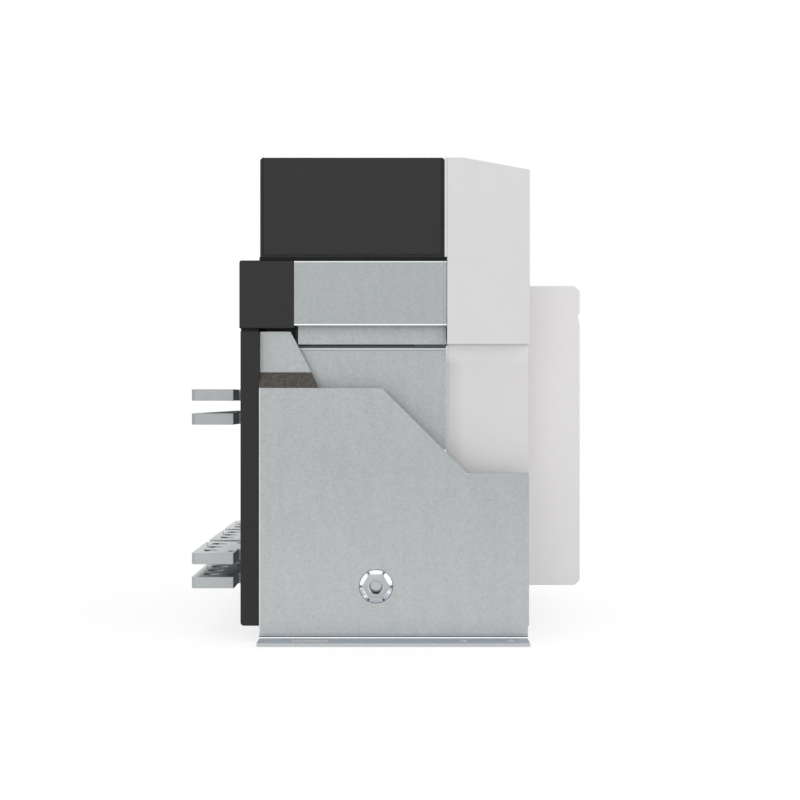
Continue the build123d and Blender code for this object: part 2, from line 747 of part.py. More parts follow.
def upper_side_sheet():
    """Joggled sheet: recessed band at the foot, proud plate above a bent shelf."""
    band = HOUSING_HALF + 3
    section = [
        (band, BAND_Z),
        (band + THIN_SHEET, BAND_Z),
        (band + THIN_SHEET, SHELF_Z),
        (UPPER_HALF, SHELF_Z),
        (UPPER_HALF, HOUSING_TOP - 0.6),
        (UPPER_HALF - THIN_SHEET, HOUSING_TOP - 0.6),
        (UPPER_HALF - THIN_SHEET, SHELF_Z + THIN_SHEET),
        (band, SHELF_Z + THIN_SHEET),
    ]
    rear = WALL_Y - 29.65
    sheet = along(section, BODY_Y + 0.3, rear)
    sheet -= block((band - 1, UPPER_HALF + 1), (rear - 2.8, rear + 1), (BAND_Z - 1, SHELF_Z))
    return sheet


def roller_axles():
    pieces = []
    for y in (BODY_Y + 2, CELL_REAR + 10):
        inner = HOUSING_HALF + THIN_SHEET
        axle = rod_x(4.0, (inner, inner + 6.0), y, ROLLER_Z)
        pieces += [axle, other_side(axle)]
    return pieces


def rollers(y):
    inner = HOUSING_HALF + THIN_SHEET + 0.6
    wheel = rod_x(ROLLER_R, (inner, inner + 5.0), y, ROLLER_Z)
    wheel -= rod_x(4.06, (inner - 1, inner + 6), y, ROLLER_Z)
    return [wheel, other_side(wheel)]


# Rear hood: black moulding of the breaker that reaches over the top of the rear wall
def rear_hood():
    front = WALL_Y - 29.65
    rear = BACK_Y + 1.2
    body = block((-UPPER_HALF, UPPER_HALF), (front, rear), (HOOD_Z, HOUSING_TOP))
    back = body.edges().filter_by(Axis.X).group_by(Axis.Y)[-1]
    body = fillet(back.sort_by(Axis.Z)[-1], 2.0)
    for x in POLES:
        half = POLE_PITCH / 2 - 7.5
        body -= block((x - half, x + half), (front + 4, rear - 3), (HOOD_Z - 1, HOUSING_TOP - 3))
        for step in range(-3, 4):
            slit = x + step * 13
            body -= block((slit - 3, slit + 3), (rear - 4, rear + 1), (HOOD_Z + 20, HOUSING_TOP - 14))
    return body


# Arc-chute cover and the three chutes that hang in the cells
CHUTE_HALF = 188.0 / 190.0 * UPPER_HALF
CHUTE_FRONT = BODY_Y + 1.9
CHUTE_REAR = WALL_Y - 0.3
NECK_HALF = CELL_HALF - 3.05


def arc_chute_cover():
    flange = block((-UPPER_HALF, UPPER_HALF), (BODY_Y + 0.3, CHUTE_REAR - 0.8), (HOUSING_TOP, CHUTE_Z + 2.5))
    base = CHUTE_Z + 2.5
    wide = block((-CHUTE_HALF, CHUTE_HALF), (CHUTE_FRONT, CHUTE_REAR), (base, TOP_Z))
    rims = wide.edges().filter_by(Axis.X).group_by(Axis.Z)[-1]
    body = chamfer(rims, 2.0) + flange
    strip = 2.6
    body -= block((CHUTE_HALF - 0.5, CHUTE_HALF + 1), (CHUTE_FRONT + strip, CHUTE_REAR - strip), (base + 2, TOP_Z + 1))
    body -= block((-CHUTE_HALF - 1, -CHUTE_HALF + 0.5), (CHUTE_FRONT + strip, CHUTE_REAR - strip), (base + 2, TOP_Z + 1))
    for x in POLES:
        wide, neck = NECK_HALF + 1.3, NECK_HALF + 0.3
        body -= block((x - wide, x + wide), (CHUTE_FRONT + 5, CHUTE_REAR - 5), (CHUTE_Z + 4, TOP_Z + 1))
        body -= block((x - neck, x + neck), (CELL_FRONT, CELL_REAR), (HOUSING_TOP - 1, CHUTE_Z + 5))
    return body


def arc_chute(x):
    """Insulating box with a slotted lid; its neck hangs in the pole cell."""
    half = NECK_HALF
    low, mid, high = UPPER_Z + 64, CHUTE_Z + 4.1, TOP_Z - 1.5
    front, rear = CELL_FRONT + 0.5, CELL_REAR - 0.5
    body = block((x - half, x + half), (front, rear), (low, mid))
    body += block((x - half - 1, x + half + 1), (CHUTE_FRONT + 5.3, CHUTE_REAR - 5.3), (mid, high))
    body -= block((x - half + 4, x + half - 4), (front + 3, rear - 3), (low - 1, high - 4))
    for index in range(8):
        y = CHUTE_FRONT + 16 + index * 16.5
        body -= block((x - 42, x + 42), (y, y + 9), (high - 2.5, high + 1))
        body -= block((x - 38, x + 38), (y + 2, y + 7), (high - 5, high + 1))
    return body


def splitter_plates(x):
    """Steel plates across the chute, each with a V cut where the arc enters."""
    half = NECK_HALF - 4.1
    low, high = UPPER_Z + 67, TOP_Z - 6
    outline = [
        (x - half, low),
        (x - 12, low),
        (x, low + 34),
        (x + 12, low),
        (x + half, low),
        (x + half, high),
        (x - half, high),
    ]
    plates = []
    for index in range(9):
        y = CELL_FRONT + 7 + index * 8
        plates.append(along(outline, y, y + 2))
    return plates


# Front cover in light-grey plastic: wide over the slides, narrow between the cradle sides
WALL = 3.0
WINDOW = (PANEL_HALF - 7, SCREW_Z - 14, 300.0)


def cover_section(out, x_low, x_high):
    """Front outline of the cover's widths, shrunk by the wall for its inside."""
    top = TOP_Z + 2
    step = BAND_Z + out
    return [
        (-x_low, FLOOR_Z - 2),
        (x_low, FLOOR_Z - 2),
        (x_low, step),
        (x_high, step),
        (x_high, top),
        (-x_high, top),
        (-x_high, step),
        (-x_low, step),
    ]


def cover_side(out):
    """Side outline of the cover: flat top at the rear, then a slope to the front."""
    slope_y = BODY_Y - 14.2
    top = TOP_Z - 0.3 - out
    rear = BODY_Y + (1 if out else 0)
    return [
        (rear, FLOOR_Z - (1 if out else 0)),
        (COVER_Y + out, FLOOR_Z - (1 if out else 0)),
        (COVER_Y + out, top - 10.4),
        (slope_y, top),
        (rear, top),
    ]


def front_cover():
    wide = UPPER_HALF + 1
    outer = along(cover_section(0, HOUSING_HALF, UPPER_HALF), COVER_Y - 1, BODY_Y + 1)
    outer &= across(cover_side(0), -wide, wide)
    inner = along(cover_section(WALL, HOUSING_HALF - WALL, UPPER_HALF - WALL), COVER_Y - 1, BODY_Y + 2)
    inner &= across(cover_side(WALL), -wide, wide)
    cover = outer - inner
    half, low, high = WINDOW
    cover -= block((-half, half), (COVER_Y - 1, COVER_Y + WALL + 1), (low, high))
    wiring = UPPER_HALF - 38
    cover -= block((-wiring, wiring), (COVER_Y + 14, BODY_Y - 18), (TOP_Z - 20, TOP_Z + 1))
    return cover


def secondary_terminals():
    """Terminal blocks for the control wiring, under the opening in the cover's slope."""
    pieces = []
    base = TOP_Z - 46
    shelf = block((-UPPER_HALF + WALL, UPPER_HALF - WALL), (COVER_Y + 8, BODY_Y - 10), (base - 3, base))
    pieces.append(shelf)
    pitch = (UPPER_HALF - 40) / 3
    half, way_pitch = pitch / 2 - 1, pitch / 5 - 1
    for index in (-2.5, -1.5, -0.5, 0.5, 1.5, 2.5):
        x = index * pitch
        body = block((x - half, x + half), (COVER_Y + 16, BODY_Y - 20), (base, base + 26))
        body -= block((x - half - 1, x + half + 1), (COVER_Y + 15, COVER_Y + 26), (base + 18, base + 27))
        for way in (-2, -1, 0, 1, 2):
            middle = x + way * way_pitch
            body -= block((middle - 3, middle + 3), (BODY_Y - 33, BODY_Y - 26), (base + 18, base + 27))
        pieces.append(body)
    return pieces


# Operator panel: the part of the front that stands through the switchboard door
PANEL_Z = 42.3
PANEL_TOP = 308.8
GROOVE_Z = 281.5
TRIP = (-0.96 * PANEL_HALF, -0.23 * PANEL_HALF, 108.0, 264.0)
BAY = (0.48 * PANEL_HALF, 0.87 * PANEL_HALF, 108.0, 264.0)
PIVOT_Z = BAY[2] + 14
PIVOT_Y = FACE_Y + 12
BUTTON_Z = 232.0
BUTTONS = (-0.04 * PANEL_HALF, 0.26 * PANEL_HALF)
BUTTON_HALF = 0.105 * PANEL_HALF
FLAG_Z = 190.0
RESET = (0.11 * PANEL_HALF, 256.0)
SHUTTER_X = 16.0
POINTER_X = 58.0
LOCK_X = -58.0


def panel_outline(out):
    corner = 4.4
    low, high = PANEL_Z + out, PANEL_TOP - out
    front = FACE_Y + out
    rear = COVER_Y + (1 if out else 0)
    return [
        (rear, low),
        (front + corner, low),
        (front, low + corner),
        (front, high - corner),
        (front + corner, high),
        (rear, high),
    ]


def operator_panel():
    panel = across(panel_outline(0), -PANEL_HALF, PANEL_HALF)
    panel -= across(panel_outline(WALL), -PANEL_HALF + WALL, PANEL_HALF - WALL)
    groove = [
        (FACE_Y - 1, GROOVE_Z - 7.5),
        (FACE_Y, GROOVE_Z - 7.5),
        (FACE_Y + 1.8, GROOVE_Z),
        (FACE_Y, GROOVE_Z + 4),
        (FACE_Y - 1, GROOVE_Z + 4),
    ]
    panel -= across(groove, -PANEL_HALF - 1, PANEL_HALF + 1)
    depth = (FACE_Y - 1, FACE_Y + WALL + 1)
    panel -= block(TRIP[:2], depth, TRIP[2:])
    bay_rear = FACE_Y + 26
    outer = (FACE_Y + WALL, bay_rear + 2)
    panel += block((BAY[0] - 2, BAY[1] + 2), outer, (BAY[2] - 2, BAY[3] + 2))
    panel -= block(BAY[:2], (FACE_Y - 1, bay_rear), BAY[2:])
    for x in BUTTONS:
        hole = BUTTON_HALF + 0.4
        panel -= block((x - hole, x + hole), depth, (BUTTON_Z - 12.5, BUTTON_Z + 12.5))
        panel -= block((x - 12, x + 12), depth, (FLAG_Z - 6, FLAG_Z + 6))
    panel -= rod_y(5.3, RESET[0], depth, RESET[1])
    panel -= rod_y(11.0, 0, depth, SCREW_Z)
    panel -= block((19, 26), depth, (SCREW_Z - 8, SCREW_Z + 25))
    panel -= block((POINTER_X - 18, POINTER_X + 18), depth, (SCREW_Z - 5, SCREW_Z + 5))
    panel -= block((LOCK_X - 10.4, LOCK_X + 10.4), depth, (SCREW_Z - 6.4, SCREW_Z + 6.4))
    return panel


def dial_places():
    """Middles of the setting dials, three across and two up."""
    left, low = TRIP[0], TRIP[2]
    columns = [left + (0.2 + 0.17 * column) * PANEL_HALF for column in range(3)]
    return [(x, z) for x in columns for z in (low + 26, low + 54)]


def trip_unit():
    """Electronic release behind the panel, with a display and setting dials."""
    x0, x1, z0, z1 = TRIP
    face = FACE_Y + WALL
    unit = block((x0 - 2, x1 + 2), (face, face + 3), (z0 - 2, z1 + 2))
    unit += block((x0 + 4, x1 - 4), (face + 3, COVER_Y - 4), (z0 + 4, z1 - 4))
    unit -= block((x0 + 16, x1 - 16), (face - 1, face + 1), (z1 - 58, z1 - 20))
    for x, z in dial_places():
        unit -= block((x - 8, x + 8), (face - 1, face + 1.2), (z - 8, z + 8))
    return unit


def setting_dials():
    face = FACE_Y + WALL
    dials = []
    for x, z in dial_places():
        dial = rod_y(6.5, x, (face - 0.4, face + 1.2), z)
        dials.append(dial - block((x - 0.8, x + 0.8), (face - 1, face + 0.4), (z - 5.5, z + 5.5)))
    return dials


def trip_cover():
    """Clear flap over the trip unit, hinged at its left edge."""
    x0, x1, z0, z1 = TRIP
    front = FACE_Y + 0.3
    flap = block((x0 + 3, x1 - 0.6), (front, front + 1.8), (z0 + 0.6, z1 - 0.6))
    knuckle = rod_z(1.3, x0 + 2.6, front + 0.9 + 0.4, (z0 + 0.6, z1 - 0.6))
    lip = block((x1 - 12, x1 - 2), (front - 0.2, front), ((z0 + z1) / 2 - 12, (z0 + z1) / 2 + 12))
    return flap + knuckle + lip


def charging_handle():
    """Lever folded into its bay; the round hub turns on a pin across the bay."""
    x0, x1, z0, z1 = BAY
    low, high = x0 + 3, x1 - 3
    y0, y1 = FACE_Y + 0.6, FACE_Y + 20
    hub = rod_x(9.0, (low, high), PIVOT_Y, PIVOT_Z)
    web = block((low + 8, high - 8), (y0 + 4, y1 - 3), (PIVOT_Z, z1 - 30))
    grip = block((low, high), (y0, y1), (z1 - 38, z1 - 5))
    grip = fillet(grip.edges().filter_by(Axis.X), 3.0)
    handle = hub + web + grip
    handle -= block((low + 5, high - 5), (y0 + 8, y1 + 1), (z1 - 32, z1 - 11))
    return handle - rod_x(3.1, (x0, x1), PIVOT_Y, PIVOT_Z)


def handle_pin():
    return rod_x(3.0, BAY[:2], PIVOT_Y, PIVOT_Z)


def push_button(x):
    half, wide = BUTTON_HALF, BUTTON_HALF + 2
    cap = block((x - half, x + half), (FACE_Y + 0.6, FACE_Y + 9), (BUTTON_Z - 12, BUTTON_Z + 12))
    cap = fillet(cap.edges().group_by(Axis.Y)[0], 0.8)
    skirt = block((x - wide, x + wide), (FACE_Y + WALL + 0.3, FACE_Y + 9), (BUTTON_Z - 14, BUTTON_Z + 14))
    return cap + skirt + rod_y(4.0, x, (FACE_Y + 9, COVER_Y - 6), BUTTON_Z)


def reset_button():
    x, z = RESET
    cap = rod_y(5.0, x, (FACE_Y + 0.6, FACE_Y + 12), z)
    return cap + rod_y(7.0, x, (FACE_Y + WALL + 0.3, FACE_Y + 5.5), z)


def control_frame():
    """Bracket behind the panel that guides the stems of the push buttons and the flags."""
    low, high = BUTTON_Z - 62, PANEL_TOP - WALL
    rear = COVER_Y - 8
    sides = (BUTTONS[0] - 24, BUTTONS[1] + 28)
    plate = block(sides, (rear, rear + 2), (low, high))
    plate += block(sides, (FACE_Y + 20, rear), (high - 2, high))
    for x in BUTTONS:
        plate -= rod_y(4.2, x, (rear - 1, rear + 3), BUTTON_Z)
    plate += rod_y(7.0, RESET[0], (FACE_Y + 20, rear), RESET[1])
    return plate - rod_y(5.2, RESET[0], (FACE_Y + 10, FACE_Y + 30), RESET[1])


def flag_plate(x):
    """Two-colour plate behind its window, lifted by the part that it reports."""
    face = FACE_Y + WALL + 0.5
    plate = block((x - 14, x + 14), (face, face + 1.5), (FLAG_Z - 22, FLAG_Z + 8))
    return plate + block((x - 3, x + 3), (face + 1.5, face + 24), (FLAG_Z - 22, FLAG_Z - 19))


def racking_shutter():
    face = FACE_Y + WALL + 0.5
    plate = block((-SHUTTER_X, 27), (face, face + 2), (SCREW_Z - 13, SCREW_Z + 13))
    tab = block((19.5, 25.5), (FACE_Y + 0.6, face), (SCREW_Z - 7.5, SCREW_Z - 1.5))
    return plate + tab


def shutter_guides():
    """Two strips on the back of the panel that the racking shutter runs between."""
    back = (FACE_Y + WALL, FACE_Y + WALL + 4)
    strips = []
    for x in (-SHUTTER_X - 3.4, 27.4):
        strips.append(block((x, x + 3), back, (SCREW_Z - 12.5, SCREW_Z + 42)))
    return strips


def position_pointer():
    face = FACE_Y + WALL + 0.5
    x = POINTER_X - 12
    plate = block((x - 3, x + 3), (face, face + 1.5), (SCREW_Z - 9, SCREW_Z + 9))
    return plate


def pointer_track():
    """Scale strip behind the pointer."""
    face = FACE_Y + WALL
    track = block((POINTER_X - 22, POINTER_X + 22), (face + 2.5, face + 4.5), (SCREW_Z - 9, SCREW_Z + 9))
    for low, high in ((SCREW_Z - 11.5, SCREW_Z - 9.5), (SCREW_Z + 9.5, SCREW_Z + 11.5)):
        track += block((POINTER_X - 22, POINTER_X + 22), (face, face + 4.5), (low, high))
    return track


def lock_slide():
    """Flat tongue that is drawn out to take a padlock."""
    front = FACE_Y + 0.6
    tongue = block((LOCK_X - 10, LOCK_X + 10), (front, front + 34), (SCREW_Z - 6, SCREW_Z + 6))
    tongue -= block((LOCK_X - 7, LOCK_X + 7), (front + 2, front + 30), (SCREW_Z - 1, SCREW_Z + 7))
    return tongue - rod_z(3.5, LOCK_X, front + 14, (SCREW_Z - 7, SCREW_Z + 1))


def lock_guide():
    back = (FACE_Y + WALL, FACE_Y + 22)
    tube = block((LOCK_X - 12.4, LOCK_X + 12.4), back, (SCREW_Z - 8.4, SCREW_Z + 8.4))
    return tube - block((LOCK_X - 10.4, LOCK_X + 10.4), (FACE_Y, FACE_Y + 23), (SCREW_Z - 6.4, SCREW_Z + 6.4))


# Cradle
save("cradle_side_right", cradle_side())
save("cradle_side_left", other_side(cradle_side()))
save("laminate_strips", *both(laminate_strip()))
save("side_bushes", *both(side_bush()))
save("wall_angles", *both(wall_angle()))
save("cradle_floor", cradle_floor())
save("cradle_screws", *cradle_screws())
save("rear_wall", rear_wall())
save("upper_terminals", *terminal_row(UPPER_Z))
save("lower_terminals", *terminal_row(LOWER_Z))
save("fixed_runners", *both(fixed_runner()))

# Sliding carriage
save("slide_rails", *both(slide_rail()))
save("crossbar", crossbar())
save("racking_nut", racking_nut())

# Breaker body
save("breaker_floor", breaker_floor())
save("racking_screw", racking_screw())
save("pole_housing", pole_housing())
save("upper_conductors", *[upper_conductor(x) for x in POLES])
save("lower_conductors", *[lower_conductor(x) for x in POLES])
save("current_sensors", *[current_sensor(x) for x in POLES])
save("finger_clusters_upper", *[f for x in POLES for f in finger_cluster(x, UPPER_Z)])
save("finger_clusters_lower", *[f for x in POLES for f in finger_cluster(x, LOWER_Z)])
save("finger_cages", *[finger_cage(x, z) for x in POLES for z in (UPPER_Z, LOWER_Z)])
save("lower_side_sheets", *both(lower_side_sheet()))
save("upper_side_sheets", *both(upper_side_sheet()))
save("roller_axles", *roller_axles())
save("front_rollers", *rollers(BODY_Y + 2))
save("rear_rollers", *rollers(CELL_REAR + 10))
save("rear_hood", rear_hood())
save("arc_chute_cover", arc_chute_cover())
save("arc_chutes", *[arc_chute(x) for x in POLES])
save("splitter_plates", *[plate for x in POLES for plate in splitter_plates(x)])

# Contacts and mechanism
save("contact_carriers", *[contact_carrier(x) for x in POLES], *[drive_pin(x) for x in POLES])
save("contact_fingers", *[finger for x in POLES for finger in contact_fingers(x)])
save("arm_pins", *[arm_pins(x) for x in POLES])
save("drive_links", *[drive_link(x) for x in POLES])
save("flex_braids", *[flex_braid(x, side) for x in POLES for side in (-1, 1)])
save("pole_shaft", pole_shaft())
save("mechanism_frame", *mechanism_frame(), spring_beam(), spring_plate(), *both(shaft_bearing(140)))
save("cam_shaft", cam_shaft())
save("closing_springs", *closing_spring(-28), *closing_spring(28))
save("charging_motor", charging_motor())
save("release_coils", *release_coils())

# Front
save("front_cover", front_cover())
save("secondary_terminals", *secondary_terminals())
save("operator_panel", operator_panel())
save("trip_unit", trip_unit())
save("setting_dials", *setting_dials())
save("trip_cover", trip_cover())
save("charging_handle", charging_handle())
save("off_button", push_button(BUTTONS[0]))
save("on_button", push_button(BUTTONS[1]))
save("reset_button", reset_button())
save("contact_flag", flag_plate(BUTTONS[0]))
save("spring_flag", flag_plate(BUTTONS[1]))
save("racking_shutter", racking_shutter())
save("panel_guides", *shutter_guides(), pointer_track(), lock_guide(), control_frame(), handle_pin())
save("position_pointer", position_pointer())
save("lock_slide", lock_slide())
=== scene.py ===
import math
import bmesh
import bpy
from mathutils import Matrix, Vector


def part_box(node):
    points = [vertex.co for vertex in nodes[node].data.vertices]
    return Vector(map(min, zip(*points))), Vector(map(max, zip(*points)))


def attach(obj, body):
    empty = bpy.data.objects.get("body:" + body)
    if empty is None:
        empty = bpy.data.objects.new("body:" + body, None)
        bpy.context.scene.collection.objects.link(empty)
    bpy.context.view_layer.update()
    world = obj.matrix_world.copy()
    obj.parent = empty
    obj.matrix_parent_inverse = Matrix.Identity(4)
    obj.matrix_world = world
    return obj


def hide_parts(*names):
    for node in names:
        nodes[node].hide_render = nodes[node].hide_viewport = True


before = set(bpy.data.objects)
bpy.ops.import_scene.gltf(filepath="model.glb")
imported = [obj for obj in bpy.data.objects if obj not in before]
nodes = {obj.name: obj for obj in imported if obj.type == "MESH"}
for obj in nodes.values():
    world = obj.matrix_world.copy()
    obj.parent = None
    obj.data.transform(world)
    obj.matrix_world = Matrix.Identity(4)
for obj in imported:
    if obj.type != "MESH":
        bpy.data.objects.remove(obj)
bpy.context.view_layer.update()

# Camera
# A plain side view of the -X side from a studio camera 1.19 m off the cradle, its lens at the
# height of the upper terminals, so that the vanishing point is the middle of the frame.
FOCAL_PX = 1390.0
FRAME_PX = 800.0
LENS_PLACE = (-1.384, -0.0114, 0.2072)
scene = bpy.context.scene
lens = bpy.data.cameras.new("studio_camera")
lens.sensor_width = 36.0
lens.lens = FOCAL_PX / FRAME_PX * lens.sensor_width
lens.clip_end = 50.0
camera = bpy.data.objects.new("studio_camera", lens)
scene.collection.objects.link(camera)
camera.location = LENS_PLACE
camera.rotation_euler = (math.radians(90), 0, math.radians(-90))
scene.camera = camera
scene.view_settings.view_transform = "Standard"


# Studio table, sky and lamps
# A matt white table under soft, nearly even light. What the camera sees directly is white, and
# the table keeps a faint shadow round the feet of the cradle.
def linear(code):
    """An sRGB hex colour as linear RGBA."""
    channels = [int(code[i : i + 2], 16) / 255 for i in (1, 3, 5)]
    flat = [c / 12.92 if c <= 0.04045 else ((c + 0.055) / 1.055) ** 2.4 for c in channels]
    return (*flat, 1.0)


def add(tree, kind, inputs=None, **settings):
    """Adds a node; inputs gives its sockets a value, or the output that feeds them."""
    node = tree.nodes.new(kind)
    for name, value in settings.items():
        setattr(node, name, value)
    for socket, value in (inputs or {}).items():
        if isinstance(value, bpy.types.NodeSocket):
            tree.links.new(value, node.inputs[socket])
        else:
            node.inputs[socket].default_value = value
    return node


def seen_directly(tree):
    """1 for camera, mirror and see-through rays, 0 for the light that falls on the object."""
    path = add(tree, "ShaderNodeLightPath").outputs
    rays = {0: path["Is Camera Ray"], 1: path["Is Glossy Ray"]}
    either = add(tree, "ShaderNodeMath", rays, operation="MAXIMUM")
    rays = {0: either.outputs[0], 1: path["Is Transmission Ray"]}
    return add(tree, "ShaderNodeMath", rays, operation="MAXIMUM").outputs[0]


world = bpy.data.worlds.new("studio")
world.use_nodes = True
scene.world = world
tree = world.node_tree
tree.nodes.clear()
soft = add(tree, "ShaderNodeBackground", {"Color": linear("#FFFFFF"), "Strength": 0.8})
white = add(tree, "ShaderNodeBackground", {"Color": linear("#FFFFFF"), "Strength": 1.0})
halves = {0: seen_directly(tree), 1: soft.outputs[0], 2: white.outputs[0]}
sky = add(tree, "ShaderNodeMixShader", halves)
add(tree, "ShaderNodeOutputWorld", {"Surface": sky.outputs[0]})

bpy.ops.mesh.primitive_plane_add(size=12.0, location=(0, 0, -0.0005))
table = bpy.context.object
table.name = "studio_table"
paper = bpy.data.materials.new("matt white table")
paper.use_nodes = True
tree = paper.node_tree
tree.nodes.clear()
matt = add(tree, "ShaderNodeBsdfDiffuse", {"Color": linear("#EDEDED")})
shade = add(tree, "ShaderNodeBsdfDiffuse", {"Color": linear("#8C8C8C")})
glow = add(tree, "ShaderNodeEmission", {"Color": linear("#FFFFFF"), "Strength": 0.79})
lifted = add(tree, "ShaderNodeAddShader", {0: shade.outputs[0], 1: glow.outputs[0]})
halves = {0: seen_directly(tree), 1: matt.outputs[0], 2: lifted.outputs[0]}
top = add(tree, "ShaderNodeMixShader", halves)
add(tree, "ShaderNodeOutputMaterial", {"Surface": top.outputs[0]})
table.data.materials.append(paper)

LAMPS_AIM_AT = Vector((0, 0, 0.2))
for name, place, size, power in (
    ("lamp_over_camera", (-2.7, 0.5, 1.2), 2.4, 11.5),
    ("lamp_front", (-1.9, -2.3, 1.6), 2.2, 11.0),
    ("lamp_far_side", (2.6, 1.2, 2.0), 2.4, 14.0),
):
    lamp = bpy.data.lights.new(name, "AREA")
    lamp.size = size
    lamp.energy = power
    stand = bpy.data.objects.new(name, lamp)
    scene.collection.objects.link(stand)
    stand.location = place
    towards = LAMPS_AIM_AT - Vector(place)
    stand.rotation_euler = towards.to_track_quat("-Z", "Y").to_euler()


# Cradle sides, floor and runners
# Bent 2 to 3 mm steel sheet, hot-dip galvanised after bending. The zinc skin is pale blue-grey
# with a fine crystal spangle and soft streaks where it ran off; worn edges are a little rounded.
def finish(name, colour, metallic, roughness, **sockets):
    """A new material; gives it back with its node tree, its shader and the object's coordinates."""
    material = bpy.data.materials.new(name)
    material.use_nodes = True
    tree = material.node_tree
    shader = tree.nodes["Principled BSDF"]
    shader.inputs["Base Color"].default_value = linear(colour)
    shader.inputs["Metallic"].default_value = metallic
    shader.inputs["Roughness"].default_value = roughness
    for socket, value in sockets.items():
        shader.inputs[socket.replace("_", " ")].default_value = value
    return material, tree, shader, add(tree, "ShaderNodeTexCoord").outputs["Object"]


def tint_between_shades(tree, shader, tint, dark, light, relief=None, depth_mm=0.0):
    """Tints the surface between two shades by one pattern, and roughens it by another."""
    shades = {0: tint, 6: linear(dark), 7: linear(light)}
    tone = add(tree, "ShaderNodeMix", shades, data_type="RGBA")
    tree.links.new(tone.outputs[2], shader.inputs["Base Color"])
    if relief:
        hills = {"Height": relief, "Strength": 1.0, "Distance": depth_mm / 1000}
        bump = add(tree, "ShaderNodeBump", hills)
        tree.links.new(bump.outputs[0], shader.inputs["Normal"])


def lay_over(tree, shader, share, colour, blend="MIX"):
    """Lays one more colour over the surface, wherever share is above 0."""
    base = shader.inputs["Base Color"]
    layers = {0: share, 6: base.links[0].from_socket, 7: linear(colour)}
    over = add(tree, "ShaderNodeMix", layers, data_type="RGBA", blend_type=blend)
    tree.links.new(over.outputs[2], base)


def dress(material, *names, edge_mm=0.0, whole_flats=False):
    """Gives CAD nodes their material, and wears their sharp edges round. Where round holes break
    a wide flat face, whole_flats joins its facets first, so that the edges wear evenly."""
    for name in names:
        shape = nodes[name]
        for place in shape.material_slots:
            place.material = material
        if edge_mm:
            weld = shape.modifiers.new("joined_corners", "WELD")
            weld.merge_threshold = 0.00001
            if whole_flats:
                flats = shape.modifiers.new("whole_flats", "DECIMATE")
                flats.decimate_type = "DISSOLVE"
                flats.angle_limit = math.radians(0.5)
            bevel = shape.modifiers.new("worn_edges", "BEVEL")
            bevel.width = edge_mm / 1000
            bevel.segments = 2
            bevel.limit_method = "ANGLE"
            bevel.angle_limit = math.radians(40)
            bevel.use_clamp_overlap = False
            bevel.harden_normals = True


# Real pores are finer than 0.8 mm, but nothing finer shows in the render.
SPANGLE_MM = 1.7
RUN_OFF_MM = 9.0
PORES_MM = 0.8


def zinc_sheet(name, marks=(), foot_painted_light=0.0):
    """Galvanised sheet. A mark is its axis, its middle and half width in mm, colour and share."""
    material, tree, shader, where = finish(name, "#B0B4B5", 0.55, 0.5)
    crystals = add(tree, "ShaderNodeTexVoronoi", {"Vector": where, "Scale": 1000 / SPANGLE_MM})
    streaks = add(tree, "ShaderNodeMapping", {"Vector": where, "Scale": (1.0, 1.0, 0.22)})
    flow = {"Vector": streaks.outputs[0], "Scale": 1000 / RUN_OFF_MM, "Detail": 5.0}
    run_off = add(tree, "ShaderNodeTexNoise", flow)
    skin = add(tree, "ShaderNodeMix", {0: 0.45, 2: crystals.outputs["Color"], 3: run_off.outputs[0]})
    pores = add(tree, "ShaderNodeTexNoise", {"Vector": where, "Scale": 1000 / PORES_MM, "Detail": 3.0})
    tint_between_shades(tree, shader, skin.outputs[0], "#A0A4A5", "#B8BCBD", pores.outputs[0], 0.01)
    split = add(tree, "ShaderNodeSeparateXYZ", {0: where}).outputs
    for axis, middle, half, colour, share in marks:
        line = {0: split[axis], 1: middle / 1000, 2: half / 1000}
        mark = add(tree, "ShaderNodeMath", line, operation="COMPARE")
        faint = add(tree, "ShaderNodeMath", {0: mark.outputs[0], 1: share}, operation="MULTIPLY")
        lay_over(tree, shader, faint.outputs[0], colour)
    # Painted light: the last argument lifts the sheet paler towards its foot.
    foot_painted_light_share = add(tree, "ShaderNodeMapRange", {0: split["Z"], 1: 0.15, 2: 0.0, 3: 0.0, 4: foot_painted_light})
    lay_over(tree, shader, foot_painted_light_share.outputs[0], "#FFFFFF", "SOFT_LIGHT")
    return material


# The sheet is painted paler towards its foot as painted light, and the front face of the foot keeps a
# plain zinc tone.
# On the bend a white line is a painted highlight, with a dark painted shade line and a soft painted shade
# band in the crease above it. The top of the foot has a painted bluish reflection, and a pale line along
# the rear edge is a painted highlight.
bent_side = zinc_sheet(
    "hot-dip galvanised steel, bent at the foot",
    [
        ("Y", 108.9, 0.6, "#E4E6E6", 0.6),
        ("Z", 6.4, 1.3, "#82898E", 0.35),
        ("Z", 4.85, 0.45, "#46525A", 1.0),
        ("Z", 3.95, 0.45, "#FFFFFF", 1.0),
        ("Z", 3.0, 0.15, "#9FA9BA", 0.5),
        ("Z", 1.2, 1.0, "#B0B4B8", 0.8),
    ],
    foot_painted_light=0.36,
)
dress(bent_side, "cradle_side_left", "cradle_side_right", edge_mm=0.4)
galvanised = zinc_sheet("hot-dip galvanised sheet steel")
dress(galvanised, "cradle_floor", "wall_angles", "fixed_runners", edge_mm=0.3)


# Insulating strips on the joggles
# Thin brown phenolic laminate, glued to the sloping face. The layers of resin-soaked paper show
# as dark mottling under a dull surface.
MOTTLE_MM = 2.4
laminate, tree, shader, where = finish("brown phenolic paper laminate", "#544D45", 0.0, 0.6)
mottle = {"Vector": where, "Scale": 1000 / MOTTLE_MM, "Detail": 4.0, "Roughness": 0.65}
blots = add(tree, "ShaderNodeTexNoise", mottle)
steps = add(tree, "ShaderNodeMapRange", {0: blots.outputs[0], 1: 0.35, 2: 0.65})
tint_between_shades(tree, shader, steps.outputs[0], "#35312C", "#57524B", blots.outputs[0], 0.02)
dress(laminate, "laminate_strips")
